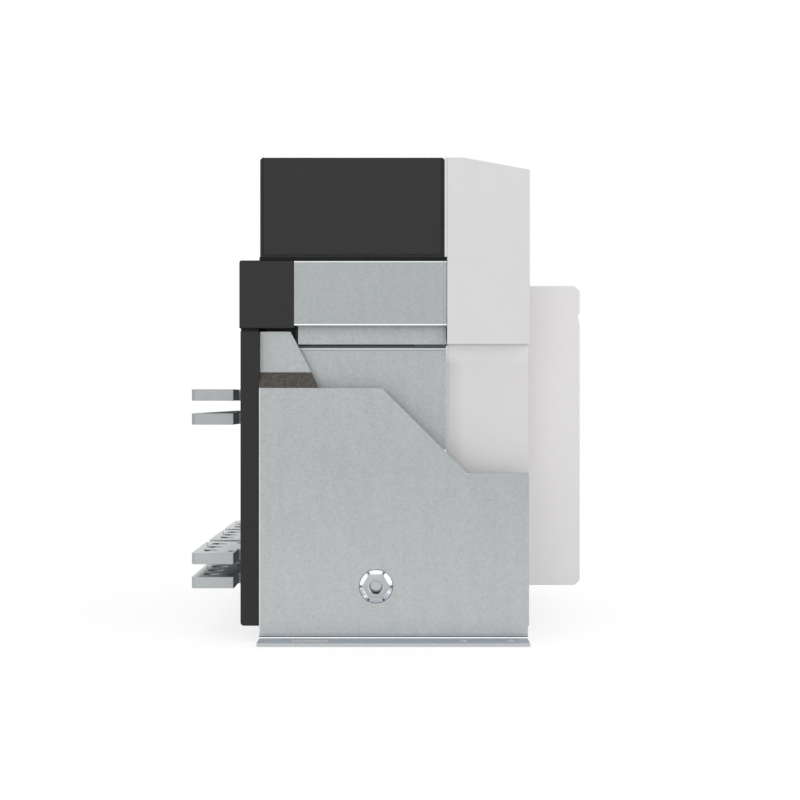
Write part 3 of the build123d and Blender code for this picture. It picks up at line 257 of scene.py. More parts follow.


# Bushes of the cradle sides
# Hexagon steel bar, turned round and bright zinc plated, pressed into the sheet. Six flat bevels
# mirror the studio and carry a painted reflection, bright on the facets and dark in the six corners,
# with a painted shadow ring round the foot; the face is dull. A dust cap closes the nylon sleeve just
# inside its mouth, and a painted shade darkens the bottom of both.
def turned(name, rings, places, facing, material, body, sides=24, open_end=False, crisp=35):
    """Turned pieces alike at several places (mm). Rings go from the seat outwards along facing,
    each (radius, height), or (radius, height, 6) for a hexagon measured to its corners. Edges
    over crisp degrees stay sharp."""
    form = bmesh.new()
    turn = Vector((0, 0, 1)).rotation_difference(Vector(facing)).to_matrix().to_4x4()
    for place in places:
        put = Matrix.Translation(Vector(place) / 1000) @ turn
        made = []
        for radius, height, *flats in rings:
            loop = []
            for step in range(sides):
                angle = 2 * math.pi * step / sides
                reach = radius
                if flats:
                    off_flat = (angle + math.pi / 6) % (math.pi / 3) - math.pi / 6
                    reach = radius * math.cos(math.pi / 6) / math.cos(off_flat)
                spot = Vector((reach * math.cos(angle), reach * math.sin(angle), height)) / 1000
                loop.append(form.verts.new(put @ spot))
            made.append(loop)
        for inner, outer in zip(made, made[1:]):
            for step in range(sides):
                after = (step + 1) % sides
                form.faces.new((inner[step], inner[after], outer[after], outer[step]))
        if not open_end:
            form.faces.new(made[-1])
    mesh = bpy.data.meshes.new(name)
    form.to_mesh(mesh)
    form.free()
    for face in mesh.polygons:
        face.use_smooth = len(face.vertices) == 4
    mesh.set_sharp_from_angle(angle=math.radians(crisp))
    mesh.materials.append(material)
    piece = bpy.data.objects.new(name, mesh)
    scene.collection.objects.link(piece)
    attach(piece, body)
    return piece


BUSH_Y = 9.1
BUSH_Z = 47.9
six_bevels, tree, shader, where = finish("turned hexagon steel, bright zinc plated", "#E4E7EA", 0.8, 0.12)
about_axis = {"Vector": where, "Location": (0, -BUSH_Y / 1000, -BUSH_Z / 1000), "Scale": (0, 1, 1)}
centred = add(tree, "ShaderNodeMapping", about_axis)
split = add(tree, "ShaderNodeSeparateXYZ", {0: centred.outputs[0]}).outputs
bearing = add(tree, "ShaderNodeMath", {0: split["Z"], 1: split["Y"]}, operation="ARCTAN2")
sixths = add(tree, "ShaderNodeMath", {0: bearing.outputs[0], 1: 3 / math.pi}, operation="MULTIPLY")
# Painted reflection: the facets are painted bright and their six corners dark.
off_corner = add(tree, "ShaderNodeMath", {0: sixths.outputs[0], 1: 0.5}, operation="PINGPONG")
painted_light_share = add(tree, "ShaderNodeMapRange", {0: off_corner.outputs[0], 1: 0.03, 2: 0.12})
radius = add(tree, "ShaderNodeVectorMath", {0: centred.outputs[0]}, operation="LENGTH").outputs["Value"]
# Painted shadow: a dark ring round the foot of the collar.
rim_painted_shadow = add(tree, "ShaderNodeMapRange", {0: radius, 1: 0.0138, 2: 0.0142, 3: 1.0, 4: 0.0})
bright = add(tree, "ShaderNodeMath", {0: painted_light_share.outputs[0], 1: rim_painted_shadow.outputs[0]}, operation="MINIMUM")
tint_between_shades(tree, shader, bright.outputs[0], "#697074", "#FBFCFF")

CLOUDY_MM = 2.0
dull_zinc, tree, shader, where = finish("turned steel, dull zinc", "#B2B6B8", 0.6, 0.45)
cloudy = add(tree, "ShaderNodeTexNoise", {"Vector": where, "Scale": 1000 / CLOUDY_MM, "Detail": 4.0})
tint_between_shades(tree, shader, cloudy.outputs[0], "#ABAFB1", "#B9BDBF", cloudy.outputs[0], 0.008)

sleeve, tree, shader, where = finish("white nylon sleeve, painted shade at the bottom", "#EEF0F1", 0.0, 0.5)
level = add(tree, "ShaderNodeSeparateXYZ", {0: where}).outputs["Z"]
# Painted shade: the bottom of the sleeve is painted dark.
painted_bottom_shade = add(tree, "ShaderNodeMapRange", {0: level, 1: 0.0423, 2: 0.0440})
tint_between_shades(tree, shader, painted_bottom_shade.outputs[0], "#1C2022", "#F6F8F9")

# The painted shade on the cap is a crescent: what lies outside a circle set 1.1 mm above the axis.
cap_steel, tree, shader, where = finish("pressed dust cap, dull zinc, painted shade crescent", "#D8DBDC", 0.2, 0.5)
circle = {"Vector": where, "Location": (0, -BUSH_Y / 1000, -(BUSH_Z + 1.1) / 1000), "Scale": (0, 1, 1)}
raised = add(tree, "ShaderNodeMapping", circle)
reach = add(tree, "ShaderNodeVectorMath", {0: raised.outputs[0]}, operation="LENGTH").outputs["Value"]
painted_bottom_shade = add(tree, "ShaderNodeMapRange", {0: reach, 1: 0.0044, 2: 0.0066, 3: 1.0, 4: 0.0})
tint_between_shades(tree, shader, painted_bottom_shade.outputs[0], "#34393C", "#CDD1D2")

BEVELS = [(14.5, 0), (14.5, 0.4), (12.3, 3.0, 6), (12.1, 2.9, 6)]
FACE = [(12.1, 2.9, 6), (11.9, 3.0, 6), (6.4, 3.0)]
BORE = [(6.4, 3.0), (6.0, 2.6), (6.0, -7.0), (10.0, -7.0), (10.0, 0)]
CAP = [(5.95, -2.2), (0.2, -2.2)]
COLLAR_HIGH = 3.0
OPEN_TUBE = {"sides": 48, "open_end": True}
bush_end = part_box("side_bushes")[1].x * 1000
for side, name in ((-1, "left"), (1, "right")):
    out = (side, 0, 0)
    seat = [(side * (bush_end - COLLAR_HIGH), BUSH_Y, BUSH_Z)]
    collar = turned(f"bush_collar_{name}", BEVELS, seat, out, six_bevels, "cradle", crisp=15, **OPEN_TUBE)
    face = turned(f"bush_face_{name}", FACE, seat, out, dull_zinc, "cradle", **OPEN_TUBE)
    bore = turned(f"bush_bore_{name}", BORE, seat, out, sleeve, "cradle", **OPEN_TUBE)
    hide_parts("side_bushes")
    cap = turned(f"bush_cap_{name}", CAP, seat, out, cap_steel, "cradle", sides=32)


# Hexagon screws of the cradle
# Cold-headed and zinc plated, so a little duller than turned work. They hold the angles of the
# rear wall to the sides.
DULL_MM = 1.5
plated_screw, tree, shader, where = finish("cold-headed screw steel, zinc plated", "#B4B7BA", 0.9, 0.32)
dull = add(tree, "ShaderNodeTexNoise", {"Vector": where, "Scale": 1000 / DULL_MM, "Detail": 3.0})
tint_between_shades(tree, shader, dull.outputs[0], "#A6A9AC", "#BFC2C5", dull.outputs[0], 0.01)
dress(plated_screw, "cradle_screws", edge_mm=0.3)


# Rear wall
# One compression-moulded block of black glass-filled polyester. It is dull, with faint clouds
# where the material flowed and the fine grain of a spark-eroded mould.
FLOW_MM = 16.0
GRAIN_MM = 0.9
black_polyester = "compression-moulded black polyester"
moulded, tree, shader, where = finish(black_polyester, "#121212", 0.0, 0.6, IOR=1.47)
flow = add(tree, "ShaderNodeTexNoise", {"Vector": where, "Scale": 1000 / FLOW_MM, "Detail": 6.0})
grain = add(tree, "ShaderNodeTexNoise", {"Vector": where, "Scale": 1000 / GRAIN_MM, "Detail": 2.0})
tint_between_shades(tree, shader, flow.outputs[0], "#0E0E0E", "#171717", grain.outputs[0], 0.03)
dress(moulded, "rear_wall", edge_mm=0.6)


# Screws in the back of the rear wall
# Sunk screws with a hexagon socket, in two rows down the edges of the moulding. They hold the
# shrouds that are fitted between the terminals.
SUNK_HEAD = [(4.4, 0), (4.2, 0.3), (2.2, 0.35), (2.1, 0.35, 6), (2.0, 0.05, 6), (0.3, 0.05, 6)]
wall_back, wall_top = (corner * 1000 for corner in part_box("rear_wall")[1].yz)
rows = [(x, wall_back, z) for x in (-181, 181) for z in (34, 118, 152, 236)]
screws = turned("wall_back_screws", SUNK_HEAD, rows, (0, 1, 0), plated_screw, "cradle")


# Seal on top of the rear wall
# Black closed-cell foam, glued along the wall's top edge. It closes the gap under the hood.
def flat_pieces(name, outlines, axis, low, high, material, body, edge_mm=0.0):
    """Flat pieces in mm: each outline of points gets its thickness from low to high along axis."""
    places = {
        "x": lambda a, b, level: (level, a, b),
        "y": lambda a, b, level: (a, level, b),
        "z": lambda a, b, level: (a, b, level),
    }
    form = bmesh.new()
    for outline in outlines:
        ends = []
        for level in (low, high):
            points = [Vector(places[axis](a, b, level)) / 1000 for a, b in outline]
            ends.append([form.verts.new(point) for point in points])
        form.faces.new(ends[0])
        form.faces.new(ends[1])
        for step in range(len(outline)):
            after = (step + 1) % len(outline)
            form.faces.new((ends[0][step], ends[0][after], ends[1][after], ends[1][step]))
    bmesh.ops.recalc_face_normals(form, faces=form.faces)
    mesh = bpy.data.meshes.new(name)
    form.to_mesh(mesh)
    form.free()
    mesh.materials.append(material)
    piece = bpy.data.objects.new(name, mesh)
    scene.collection.objects.link(piece)
    if edge_mm:
        bevel = piece.modifiers.new("rounded_edges", "BEVEL")
        bevel.width = edge_mm / 1000
        bevel.segments = 2
    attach(piece, body)
    return piece


def square(low_a, high_a, low_b, high_b):
    """The outline of a square piece between two pairs of edges."""
    return [(low_a, low_b), (high_a, low_b), (high_a, high_b), (low_a, high_b)]


CELL_MM = 0.8
foam, tree, shader, where = finish("black closed-cell foam, also a painted shadow line", "#0A0A0A", 0.0, 0.95)
cells = add(tree, "ShaderNodeTexVoronoi", {"Vector": where, "Scale": 1000 / CELL_MM}).outputs["Distance"]
tint_between_shades(tree, shader, cells, "#060606", "#101010", cells, 0.1)
strip = [square(-190.5, 190.5, 110.5, 125.2)]
wall_seal = flat_pieces("wall_seal", strip, "z", wall_top, wall_top + 2.4, foam, "cradle")


# Main terminals
# Rolled copper bar, sawn, drilled and tin plated: a soft silver-grey with faint rolling lines
# along each bar, and duller where a fitter has rubbed it. A painted light makes the lower bars paler
# and the upper bars darker.
ROLLING_MM = 0.7
RUBBED_MM = 11.0
tinned, tree, shader, where = finish("rolled copper bar, tin plated", "#AEB2B3", 0.75, 0.4)
drawn = add(tree, "ShaderNodeMapping", {"Vector": where, "Scale": (1.0, 0.06, 1.0)})
lines = {"Vector": drawn.outputs[0], "Scale": 1000 / ROLLING_MM, "Detail": 3.0}
rolling = add(tree, "ShaderNodeTexNoise", lines)
rubbed = add(tree, "ShaderNodeTexNoise", {"Vector": where, "Scale": 1000 / RUBBED_MM, "Detail": 4.0})
tin = add(tree, "ShaderNodeMix", {0: 0.5, 2: rolling.outputs[0], 3: rubbed.outputs[0]})
height = add(tree, "ShaderNodeSeparateXYZ", {0: where}).outputs["Z"]
# Painted light: paler towards the lower bars, darker towards the upper ones.
height_painted_light = add(tree, "ShaderNodeMapRange", {0: height, 1: 0.19, 2: 0.09, 3: -0.3, 4: 0.3})
shade = add(tree, "ShaderNodeMath", {0: tin.outputs[0], 1: height_painted_light.outputs[0]}, operation="ADD")
tint_between_shades(tree, shader, shade.outputs[0], "#9CA0A2", "#B3B7B8", rolling.outputs[0], 0.015)
dress(tinned, "upper_terminals", "lower_terminals", edge_mm=0.8)


# Tapped holes of the terminal bars
# A small blind M5 hole beside each outer bolt hole takes the sense wire and the shroud. Each is
# drawn as a flat dark disc laid on the bar: a painted shadow that stands for the hole.
TAPPED = [(3.2, 0), (3.2, 0.06), (2.4, 0.06), (2.3, 0.03), (0.2, 0.03)]
THREAD_MM = 0.8
shadowed, tree, shader, where = finish("dark steel grey, painted shadow of a tapped hole", "#25272A", 0.4, 0.7)
thread = add(tree, "ShaderNodeTexNoise", {"Vector": where, "Scale": 1000 / THREAD_MM, "Detail": 1.0})
tint_between_shades(tree, shader, thread.outputs[0], "#1C1E20", "#2E3134", thread.outputs[0], 0.05)
BAR_THICK = 10.0
for row in ("upper_terminals", "lower_terminals"):
    low, high = (corner.z * 1000 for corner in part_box(row))
    faces = ((high, 1), (low + BAR_THICK, 1), (low, -1), (high - BAR_THICK, -1))
    for level, facing in faces:
        spots = [(pole + side, 138.7, level) for pole in (-115, 0, 115) for side in (-35, 35)]
        name = f"tapped_holes_{row}_{round(level)}_{'top' if facing > 0 else 'under'}"
        holes = turned(name, TAPPED, spots, (0, 0, facing), shadowed, "cradle", sides=16)


# Slide rails, crossbar and racking nut
# The rails are roll-formed steel with a blue zinc passivation, greased, with rub marks along their
# length. The crossbar is galvanised sheet, and the nut in its eye is machined bronze.
RUB_MM = 1.2
passivated, tree, shader, where = finish("roll-formed steel, blue zinc passivated", "#A9AEB4", 0.85, 0.35)
long = add(tree, "ShaderNodeMapping", {"Vector": where, "Scale": (1.0, 0.03, 1.0)})
rub = add(tree, "ShaderNodeTexNoise", {"Vector": long.outputs[0], "Scale": 1000 / RUB_MM, "Detail": 4.0})
tint_between_shades(tree, shader, rub.outputs[0], "#999EA6", "#B9BEC3", rub.outputs[0], 0.01)
dress(passivated, "slide_rails", "finger_cages", edge_mm=0.2)
dress(galvanised, "crossbar", "breaker_floor", edge_mm=0.3)

CUT_MM = 0.9
bronze, tree, shader, where = finish("machined tin bronze", "#A5793F", 0.95, 0.35)
cut = add(tree, "ShaderNodeTexNoise", {"Vector": where, "Scale": 1000 / CUT_MM, "Detail": 2.0})
tint_between_shades(tree, shader, cut.outputs[0], "#94692F", "#B58A50", cut.outputs[0], 0.02)
dress(bronze, "racking_nut", edge_mm=0.3)


# Racking screw, rollers, axles and pivot pins
# Ground steel, thinly zinc plated and oiled, so darker than the bush and streaked round its length.
LAY_MM = 1.1
ground, tree, shader, where = finish("ground steel, thin zinc, oiled", "#8E9296", 0.95, 0.28)
lay = add(tree, "ShaderNodeTexNoise", {"Vector": where, "Scale": 1000 / LAY_MM, "Detail": 4.0})
tint_between_shades(tree, shader, lay.outputs[0], "#7C8084", "#9DA1A5", lay.outputs[0], 0.008)
dress(ground, "racking_screw", "roller_axles", "front_rollers", "rear_rollers", "arm_pins", edge_mm=0.3)


# Pole housing, arc chutes and contact carriers
# The same black polyester as the rear wall. The housing is one moulding with three open cells; the
# chutes hang in the cells and the carriers turn in them.
dress(moulded, "pole_housing", "arc_chutes", "contact_carriers", edge_mm=0.5)


# Conductors, plug fingers and contact fingers
# Copper stamped or sawn and silver plated. New silver is warm and bright, and it tarnishes brown in
# patches where sulphur reaches it.
TARNISH_MM = 7.0
WEAR_MM = 0.9
silvered, tree, shader, where = finish("copper, silver plated, lightly tarnished", "#CFC6BA", 0.95, 0.3)
patches = add(tree, "ShaderNodeTexNoise", {"Vector": where, "Scale": 1000 / TARNISH_MM, "Detail": 5.0})
soot = add(tree, "ShaderNodeMapRange", {0: patches.outputs[0], 1: 0.4, 2: 0.7})
wear_lines = add(tree, "ShaderNodeTexNoise", {"Vector": where, "Scale": 1000 / WEAR_MM, "Detail": 2.0})
tint_between_shades(tree, shader, soot.outputs[0], "#D6CFC4", "#B39C80", wear_lines.outputs[0], 0.01)
dress(silvered, "upper_conductors", "lower_conductors", edge_mm=0.3)
dress(silvered, "finger_clusters_upper", "finger_clusters_lower", "contact_fingers", edge_mm=0.25)


# Flexible braids
# Stacks of thin bare copper foil, clamped at the ends. The edges of the foils show as fine lines,
# drawn 0.8 mm apart, because real foils of 0.1 mm are too fine to show.
FOIL_MM = 0.8
foil, tree, shader, where = finish("stacked bare copper foil", "#B8704A", 0.95, 0.35)
stack = {"Vector": where, "Scale": 100 * math.pi / FOIL_MM, "Distortion": 0.8}
leaves = add(tree, "ShaderNodeTexWave", stack, wave_type="BANDS", bands_direction="Y")
tint_between_shades(tree, shader, leaves.outputs[0], "#8E4F31", "#C98159", leaves.outputs[0], 0.08)
dress(foil, "flex_braids")


# Current sensors
# Coils cast in dark green epoxy, with a slightly wavy cast surface.
CAST_MM = 8.0
epoxy, tree, shader, where = finish("cast epoxy, dark green", "#233129", 0.0, 0.35)
cast = add(tree, "ShaderNodeTexNoise", {"Vector": where, "Scale": 1000 / CAST_MM, "Detail": 3.0})
tint_between_shades(tree, shader, cast.outputs[0], "#1D2A23", "#2A3A31", cast.outputs[0], 0.1)
dress(epoxy, "current_sensors", edge_mm=0.8)


# Drive links and setting dials
# Injection-moulded polyamide, undyed, so a warm white with a satin surface.
HAZE_MM = 3.0
ivory, tree, shader, where = finish("undyed polyamide, injection moulded", "#DCD8CC", 0.0, 0.45)
haze = add(tree, "ShaderNodeTexNoise", {"Vector": where, "Scale": 1000 / HAZE_MM, "Detail": 4.0})
tint_between_shades(tree, shader, haze.outputs[0], "#D5D0C3", "#E2DED3", haze.outputs[0], 0.01)
dress(ivory, "drive_links", "setting_dials", edge_mm=0.25)


# Mechanism frame, shafts and splitter plates
# Pressed and milled steel plates, yellow-grey zinc plated. The pole shaft carries welded levers, and
# the splitter plates are bare steel, slightly blued by arcs.
PRESSED_MM = 2.2
pressed, tree, shader, where = finish("pressed steel, zinc plated", "#A7A79F", 0.85, 0.42)
sheen = add(tree, "ShaderNodeTexNoise", {"Vector": where, "Scale": 1000 / PRESSED_MM, "Detail": 5.0})
tint_between_shades(tree, shader, sheen.outputs[0], "#97978E", "#B5B5AE", sheen.outputs[0], 0.01)
dress(pressed, "mechanism_frame", "pole_shaft", "cam_shaft", edge_mm=0.3)

HEAT_MM = 25.0
MILL_MM = 1.0
blued, tree, shader, where = finish("mild steel, blued by arcs", "#7F838B", 0.9, 0.4)
heat = add(tree, "ShaderNodeTexNoise", {"Vector": where, "Scale": 1000 / HEAT_MM, "Detail": 3.0})
mill = add(tree, "ShaderNodeTexNoise", {"Vector": where, "Scale": 1000 / MILL_MM, "Detail": 2.0})
tint_between_shades(tree, shader, heat.outputs[0], "#6B7180", "#94948F", mill.outputs[0], 0.01)
dress(blued, "splitter_plates")


# Closing springs
# Cold-coiled patented wire, shot-peened and oiled: nearly black, with small dimples.
DIMPLE_MM = 0.7
wire, tree, shader, where = finish("oiled spring wire, shot-peened", "#33353A", 0.8, 0.4)
peened = add(tree, "ShaderNodeTexVoronoi", {"Vector": where, "Scale": 1000 / DIMPLE_MM})
tint_between_shades(tree, shader, peened.outputs["Distance"], "#25272B", "#44474C", peened.outputs["Distance"], 0.05)
dress(wire, "closing_springs", edge_mm=0.4)


# Charging motor and release coils
# The motor has a die-cast gear head and a barrel in black stove enamel. The coils are wound in
# amber tape inside pressed yokes.
PEEL_MM = 2.0
enamel, tree, shader, where = finish("black stove enamel on die-cast", "#1E1F21", 0.0, 0.35)
orange_peel = add(tree, "ShaderNodeTexNoise", {"Vector": where, "Scale": 1000 / PEEL_MM, "Detail": 2.0})
tint_between_shades(tree, shader, orange_peel.outputs[0], "#191A1C", "#232427", orange_peel.outputs[0], 0.03)
dress(enamel, "charging_motor", edge_mm=0.6)

TAPE_MM = 6.0
tape, tree, shader, where = finish("amber polyester coil tape", "#9A6C1E", 0.0, 0.3)
laps = {"Vector": where, "Scale": 100 * math.pi / TAPE_MM, "Distortion": 0.3}
wraps = add(
    tree, "ShaderNodeTexWave", laps, wave_type="BANDS", bands_direction="Z", wave_profile="SAW"
)
tint_between_shades(tree, shader, wraps.outputs[0], "#8A5E16", "#AA7B2B", wraps.outputs[0], 0.1)
dress(tape, "release_coils", edge_mm=0.3)


# Side sheets of the breaker
# Galvanised like the cradle. The upper sheet is joggled: its proud plate ends in a bent shelf, and a
# recessed band shows under it.
# Painted light and shade on the upper sheet: its proud plate is painted a little darker, its top edge and
# the bend into its shelf carry painted highlights, and a painted shade line runs just inside its front
# edge.
upper_zinc_painted_light = zinc_sheet(
    "hot-dip galvanised steel, rubbed bright at its bends",
    [
        ("Z", 301.0, 28.5, "#8B9092", 0.25),
        ("Z", 326.1, 0.5, "#E6EAEA", 1.0),
        ("Z", 271.9, 0.6, "#F0F3F3", 1.0),
        ("Y", -49.0, 0.25, "#8E9496", 0.7),
    ],
)
dress(upper_zinc_painted_light, "upper_side_sheets", edge_mm=0.3)
# Under the lower sheet's top rim a pale line is a painted highlight, with a grey painted shade line below
# it.
rimmed = zinc_sheet(
    "hot-dip galvanised steel, dirty under its top rim",
    [("Z", 251.6, 0.6, "#CDD1D2", 1.0), ("Z", 250.3, 0.4, "#90979A", 1.0)],
)
dress(rimmed, "lower_side_sheets", edge_mm=0.3)


# Grey strip between the side sheets
# A grey strip in the joint between the upper and the lower sheet; its grey is a painted shade that stands
# for the shaded joint.
JOINT_GRAIN_MM = 0.9
joint_shade_grey, tree, shader, where = finish("grey strip, painted shade of the joint", "#5E676A", 0.0, 0.9)
cells = add(tree, "ShaderNodeTexVoronoi", {"Vector": where, "Scale": 1000 / JOINT_GRAIN_MM}).outputs["Distance"]
tint_between_shades(tree, shader, cells, "#525B5E", "#697275", cells, 0.08)
sheet_out, sheet_top = (corner * 1000 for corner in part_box("lower_side_sheets")[1].xz)
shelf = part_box("upper_side_sheets")[0].z * 1000
strip = [square(-51.0, 78.0, sheet_top - 1.0, shelf + 1.0)]
for side, name in ((-1, "left"), (1, "right")):
    near, far = sorted((side * 176.05, side * 177.0))
    joint = flat_pieces(f"joint_shade_strip_{name}", strip, "x", near, far, joint_shade_grey, "breaker")


# Rivets of the lower side sheets
# Domed steel rivets along the front edge, bright because their zinc is new and their crowns catch
# the light from above.
HAMMER_MM = 1.0
bright_zinc, tree, shader, where = finish("rivet steel, bright zinc plated", "#E4E7EA", 0.8, 0.14)
hammered = add(tree, "ShaderNodeTexNoise", {"Vector": where, "Scale": 1000 / HAMMER_MM, "Detail": 3.0})
tint_between_shades(tree, shader, hammered.outputs[0], "#E3E8F0", "#F4F7FC", hammered.outputs[0], 0.002)
RIVET = [(1.75, 0), (1.7, 0.35), (1.4, 0.75), (0.9, 1.0), (0.3, 1.1)]
for side, name in ((-1, "left"), (1, "right")):
    spots = [(side * sheet_out, -49.6, z) for z in (46, 104, 162.8)]
    rivets = turned(f"sheet_rivets_{name}", RIVET, spots, (side, 0, 0), bright_zinc, "breaker")


# Rear hood and arc-chute cover
# Black polyester again, from finer moulds: the hood has vent slits at the rear, and the cover is an
# open frame round the three chutes with a shallow panel sunk in each side.
FINE_GRAIN_MM = 0.7
smooth_polyester = "compression-moulded black polyester, fine mould"
smooth_moulded, tree, shader, where = finish(smooth_polyester, "#141414", 0.0, 0.55, IOR=1.47)
flow = add(tree, "ShaderNodeTexNoise", {"Vector": where, "Scale": 1000 / FLOW_MM, "Detail": 6.0})
grain = add(tree, "ShaderNodeTexNoise", {"Vector": where, "Scale": 1000 / FINE_GRAIN_MM, "Detail": 2.0})
tint_between_shades(tree, shader, flow.outputs[0], "#0D0D0D", "#151515", grain.outputs[0], 0.02)
dress(smooth_moulded, "rear_hood", "arc_chute_cover", edge_mm=0.7)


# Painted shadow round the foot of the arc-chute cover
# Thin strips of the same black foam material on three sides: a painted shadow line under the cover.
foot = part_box("arc_chute_cover")[0].z * 1000
shadow_line_top = foot + 2.7
for side, name in ((-1, "left"), (1, "right")):
    near, far = sorted((side * 189.0, side * 190.4))
    run = [square(-51.4, 108.3, foot, shadow_line_top)]
    edge = flat_pieces(f"chute_shadow_strip_{name}", run, "x", near, far, foam, "breaker")
run = [square(-190.4, 190.4, foot, shadow_line_top)]
edge = flat_pieces("chute_shadow_strip_back", run, "y", 108.3, 109.3, foam, "breaker")


# Lid screws of the arc chutes and screws of the hood
# Pan-head screws with a hexagon socket: four hold each chute down in its cell. Sunk screws beside
# the vents hold the hood to the housing.
PAN_HEAD = [(3.4, 0), (3.4, 0.6), (2.9, 1.2), (1.5, 1.3), (1.5, 1.3, 6), (1.5, 0.4, 6), (0.2, 0.4, 6)]
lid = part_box("arc_chutes")[1].z * 1000
across = [pole + side for pole in (-115, 0, 115) for side in (-45, 45)]
corners = [(x, y, lid) for x in across for y in (-39.4, 97.6)]
lid_screws = turned("chute_lid_screws", PAN_HEAD, corners, (0, 0, 1), plated_screw, "breaker")
hood_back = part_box("rear_hood")[1].y * 1000
between = [(x, hood_back, 298) for x in (-172, -57.5, 57.5, 172)]
hood_screws = turned("hood_screws", SUNK_HEAD, between, (0, 1, 0), plated_screw, "breaker")


# Front cover and operator panel
# Injection-moulded light-grey polycarbonate blend, with a fine even texture that takes the gloss
# off. Below the step a painted shade darkens the cover along its joint with the side sheets, and a
# painted light keeps the strip under the step pale. The panel is painted a shade paler than the cover
# to offset the shade it sits in.
TEXTURE_MM = 0.7
CLOUD_MM = 18.0


def cover_blend(name, dark, light):
    """The moulding blend, given back as finish does."""
    material, tree, shader, where = finish(name, light, 0.0, 0.5)
    etch = add(tree, "ShaderNodeTexNoise", {"Vector": where, "Scale": 1000 / TEXTURE_MM, "Detail": 2.0})
    cloud = add(tree, "ShaderNodeTexNoise", {"Vector": where, "Scale": 1000 / CLOUD_MM, "Detail": 3.0})
    tint = add(tree, "ShaderNodeMix", {0: 0.5, 2: etch.outputs[0], 3: cloud.outputs[0]})
    tint_between_shades(tree, shader, tint.outputs[0], dark, light, etch.outputs[0], 0.02)
    return material, tree, shader, where


light_blend = "light-grey polycarbonate blend, fine texture"
cover_plastic, tree, shader, where = cover_blend(light_blend, "#D5D3D4", "#E0DEDF")
split = add(tree, "ShaderNodeSeparateXYZ", {0: where}).outputs
# Painted shade: darker along the joint with the side sheets, below the step.
near_joint = add(tree, "ShaderNodeMapRange", {0: split["Y"], 1: -0.066, 2: -0.052, 3: 0.0, 4: 0.42})
below_step = add(tree, "ShaderNodeMapRange", {0: split["Z"], 1: 0.252, 2: 0.238})
both = {0: near_joint.outputs[0], 1: below_step.outputs[0]}
joint_painted_shade = add(tree, "ShaderNodeMath", both, operation="MULTIPLY")
lay_over(tree, shader, joint_painted_shade.outputs[0], "#A9ABAE")
# Painted light: under the step the cover is painted paler.
step_painted_light = add(tree, "ShaderNodeMapRange", {0: split["Z"], 1: 0.238, 2: 0.254, 3: 0.0, 4: 0.75})
under_step = add(tree, "ShaderNodeMath", {0: split["Z"], 1: 0.2544}, operation="LESS_THAN")
on_cheek = add(tree, "ShaderNodeMath", {0: split["Y"], 1: -0.1228}, operation="GREATER_THAN")
both = {0: under_step.outputs[0], 1: on_cheek.outputs[0]}
there = add(tree, "ShaderNodeMath", both, operation="MULTIPLY")
both = {0: step_painted_light.outputs[0], 1: there.outputs[0]}
painted_light_share = add(tree, "ShaderNodeMath", both, operation="MULTIPLY")
lay_over(tree, shader, painted_light_share.outputs[0], "#F6F5F6")
# Painted light: the panel's blend is painted paler than the cover's, to offset its shade.
panel_plastic = cover_blend("pale-grey polycarbonate blend, fine texture, painted paler", "#DFDDDE", "#E9E7E8")[0]
dress(cover_plastic, "front_cover", edge_mm=0.7)
dress(panel_plastic, "operator_panel", edge_mm=0.7, whole_flats=True)


# Lip of the front cover
# A thin tongue moulded round the rear edge of the cover. It laps towards the arc-chute cover, and
# lower down towards the side sheets, and hides the joint between them.
cheek, ridge = (corner * 1000 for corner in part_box("front_cover")[1].xz)
TONGUE_FOOT = 330.3
TONGUE_WIDE = 3.0
inner = cheek - TONGUE_WIDE
tongue = [(-cheek, TONGUE_FOOT), (-inner, TONGUE_FOOT), (-inner, ridge - TONGUE_WIDE)]
tongue += [(inner, ridge - TONGUE_WIDE), (inner, TONGUE_FOOT), (cheek, TONGUE_FOOT)]
tongue += [(cheek, ridge - 0.1), (-cheek, ridge - 0.1)]
lip = flat_pieces("cover_lip", [tongue], "y", -51.8, -49.8, cover_plastic, "breaker")
run = [square(-52.6, -51.2, 30.5, 254.0)]
for side, name in ((-1, "left"), (1, "right")):
    near, far = sorted((side * (sheet_out - 2.0), side * (sheet_out - 0.1)))
    lip = flat_pieces(f"cover_lip_{name}", run, "x", near, far, cover_plastic, "breaker")


# Screws of the front cover
# Six pan-head screws in the rim beside the operator panel and two above it.
cover_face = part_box("front_cover")[0].y * 1000
rim = [(x, cover_face, z) for x in (-161, 161) for z in (48, 150, 246)]
rim += [(x, cover_face, 352) for x in (-120, 120)]
cover_screws = turned("cover_screws", PAN_HEAD, rim, (0, -1, 0), plated_screw, "breaker")


# Secondary terminal blocks
# Grey-green polyamide blocks for the control wiring, clipped side by side on their shelf.
SPECK_MM = 1.4
block_plastic, tree, shader, where = finish("grey-green polyamide", "#7F8B82", 0.0, 0.5)
speck = add(tree, "ShaderNodeTexNoise", {"Vector": where, "Scale": 1000 / SPECK_MM, "Detail": 3.0})
tint_between_shades(tree, shader, speck.outputs[0], "#788379", "#87938A", speck.outputs[0], 0.01)
dress(block_plastic, "secondary_terminals", edge_mm=0.4)


# Clamp screws of the secondary terminals
# One slotted brass-plated screw over each way, five to a block, with a straight slot for the
# screwdriver.
def half_disc(x, y, radius, gap, side):
    """One half of a slotted screw head, seen along the screw."""
    start = math.asin(gap / radius)
    angles = [start + (math.pi - 2 * start) * step / 8 for step in range(9)]
    return [(x + radius * math.cos(angle), y + side * radius * math.sin(angle)) for angle in angles]


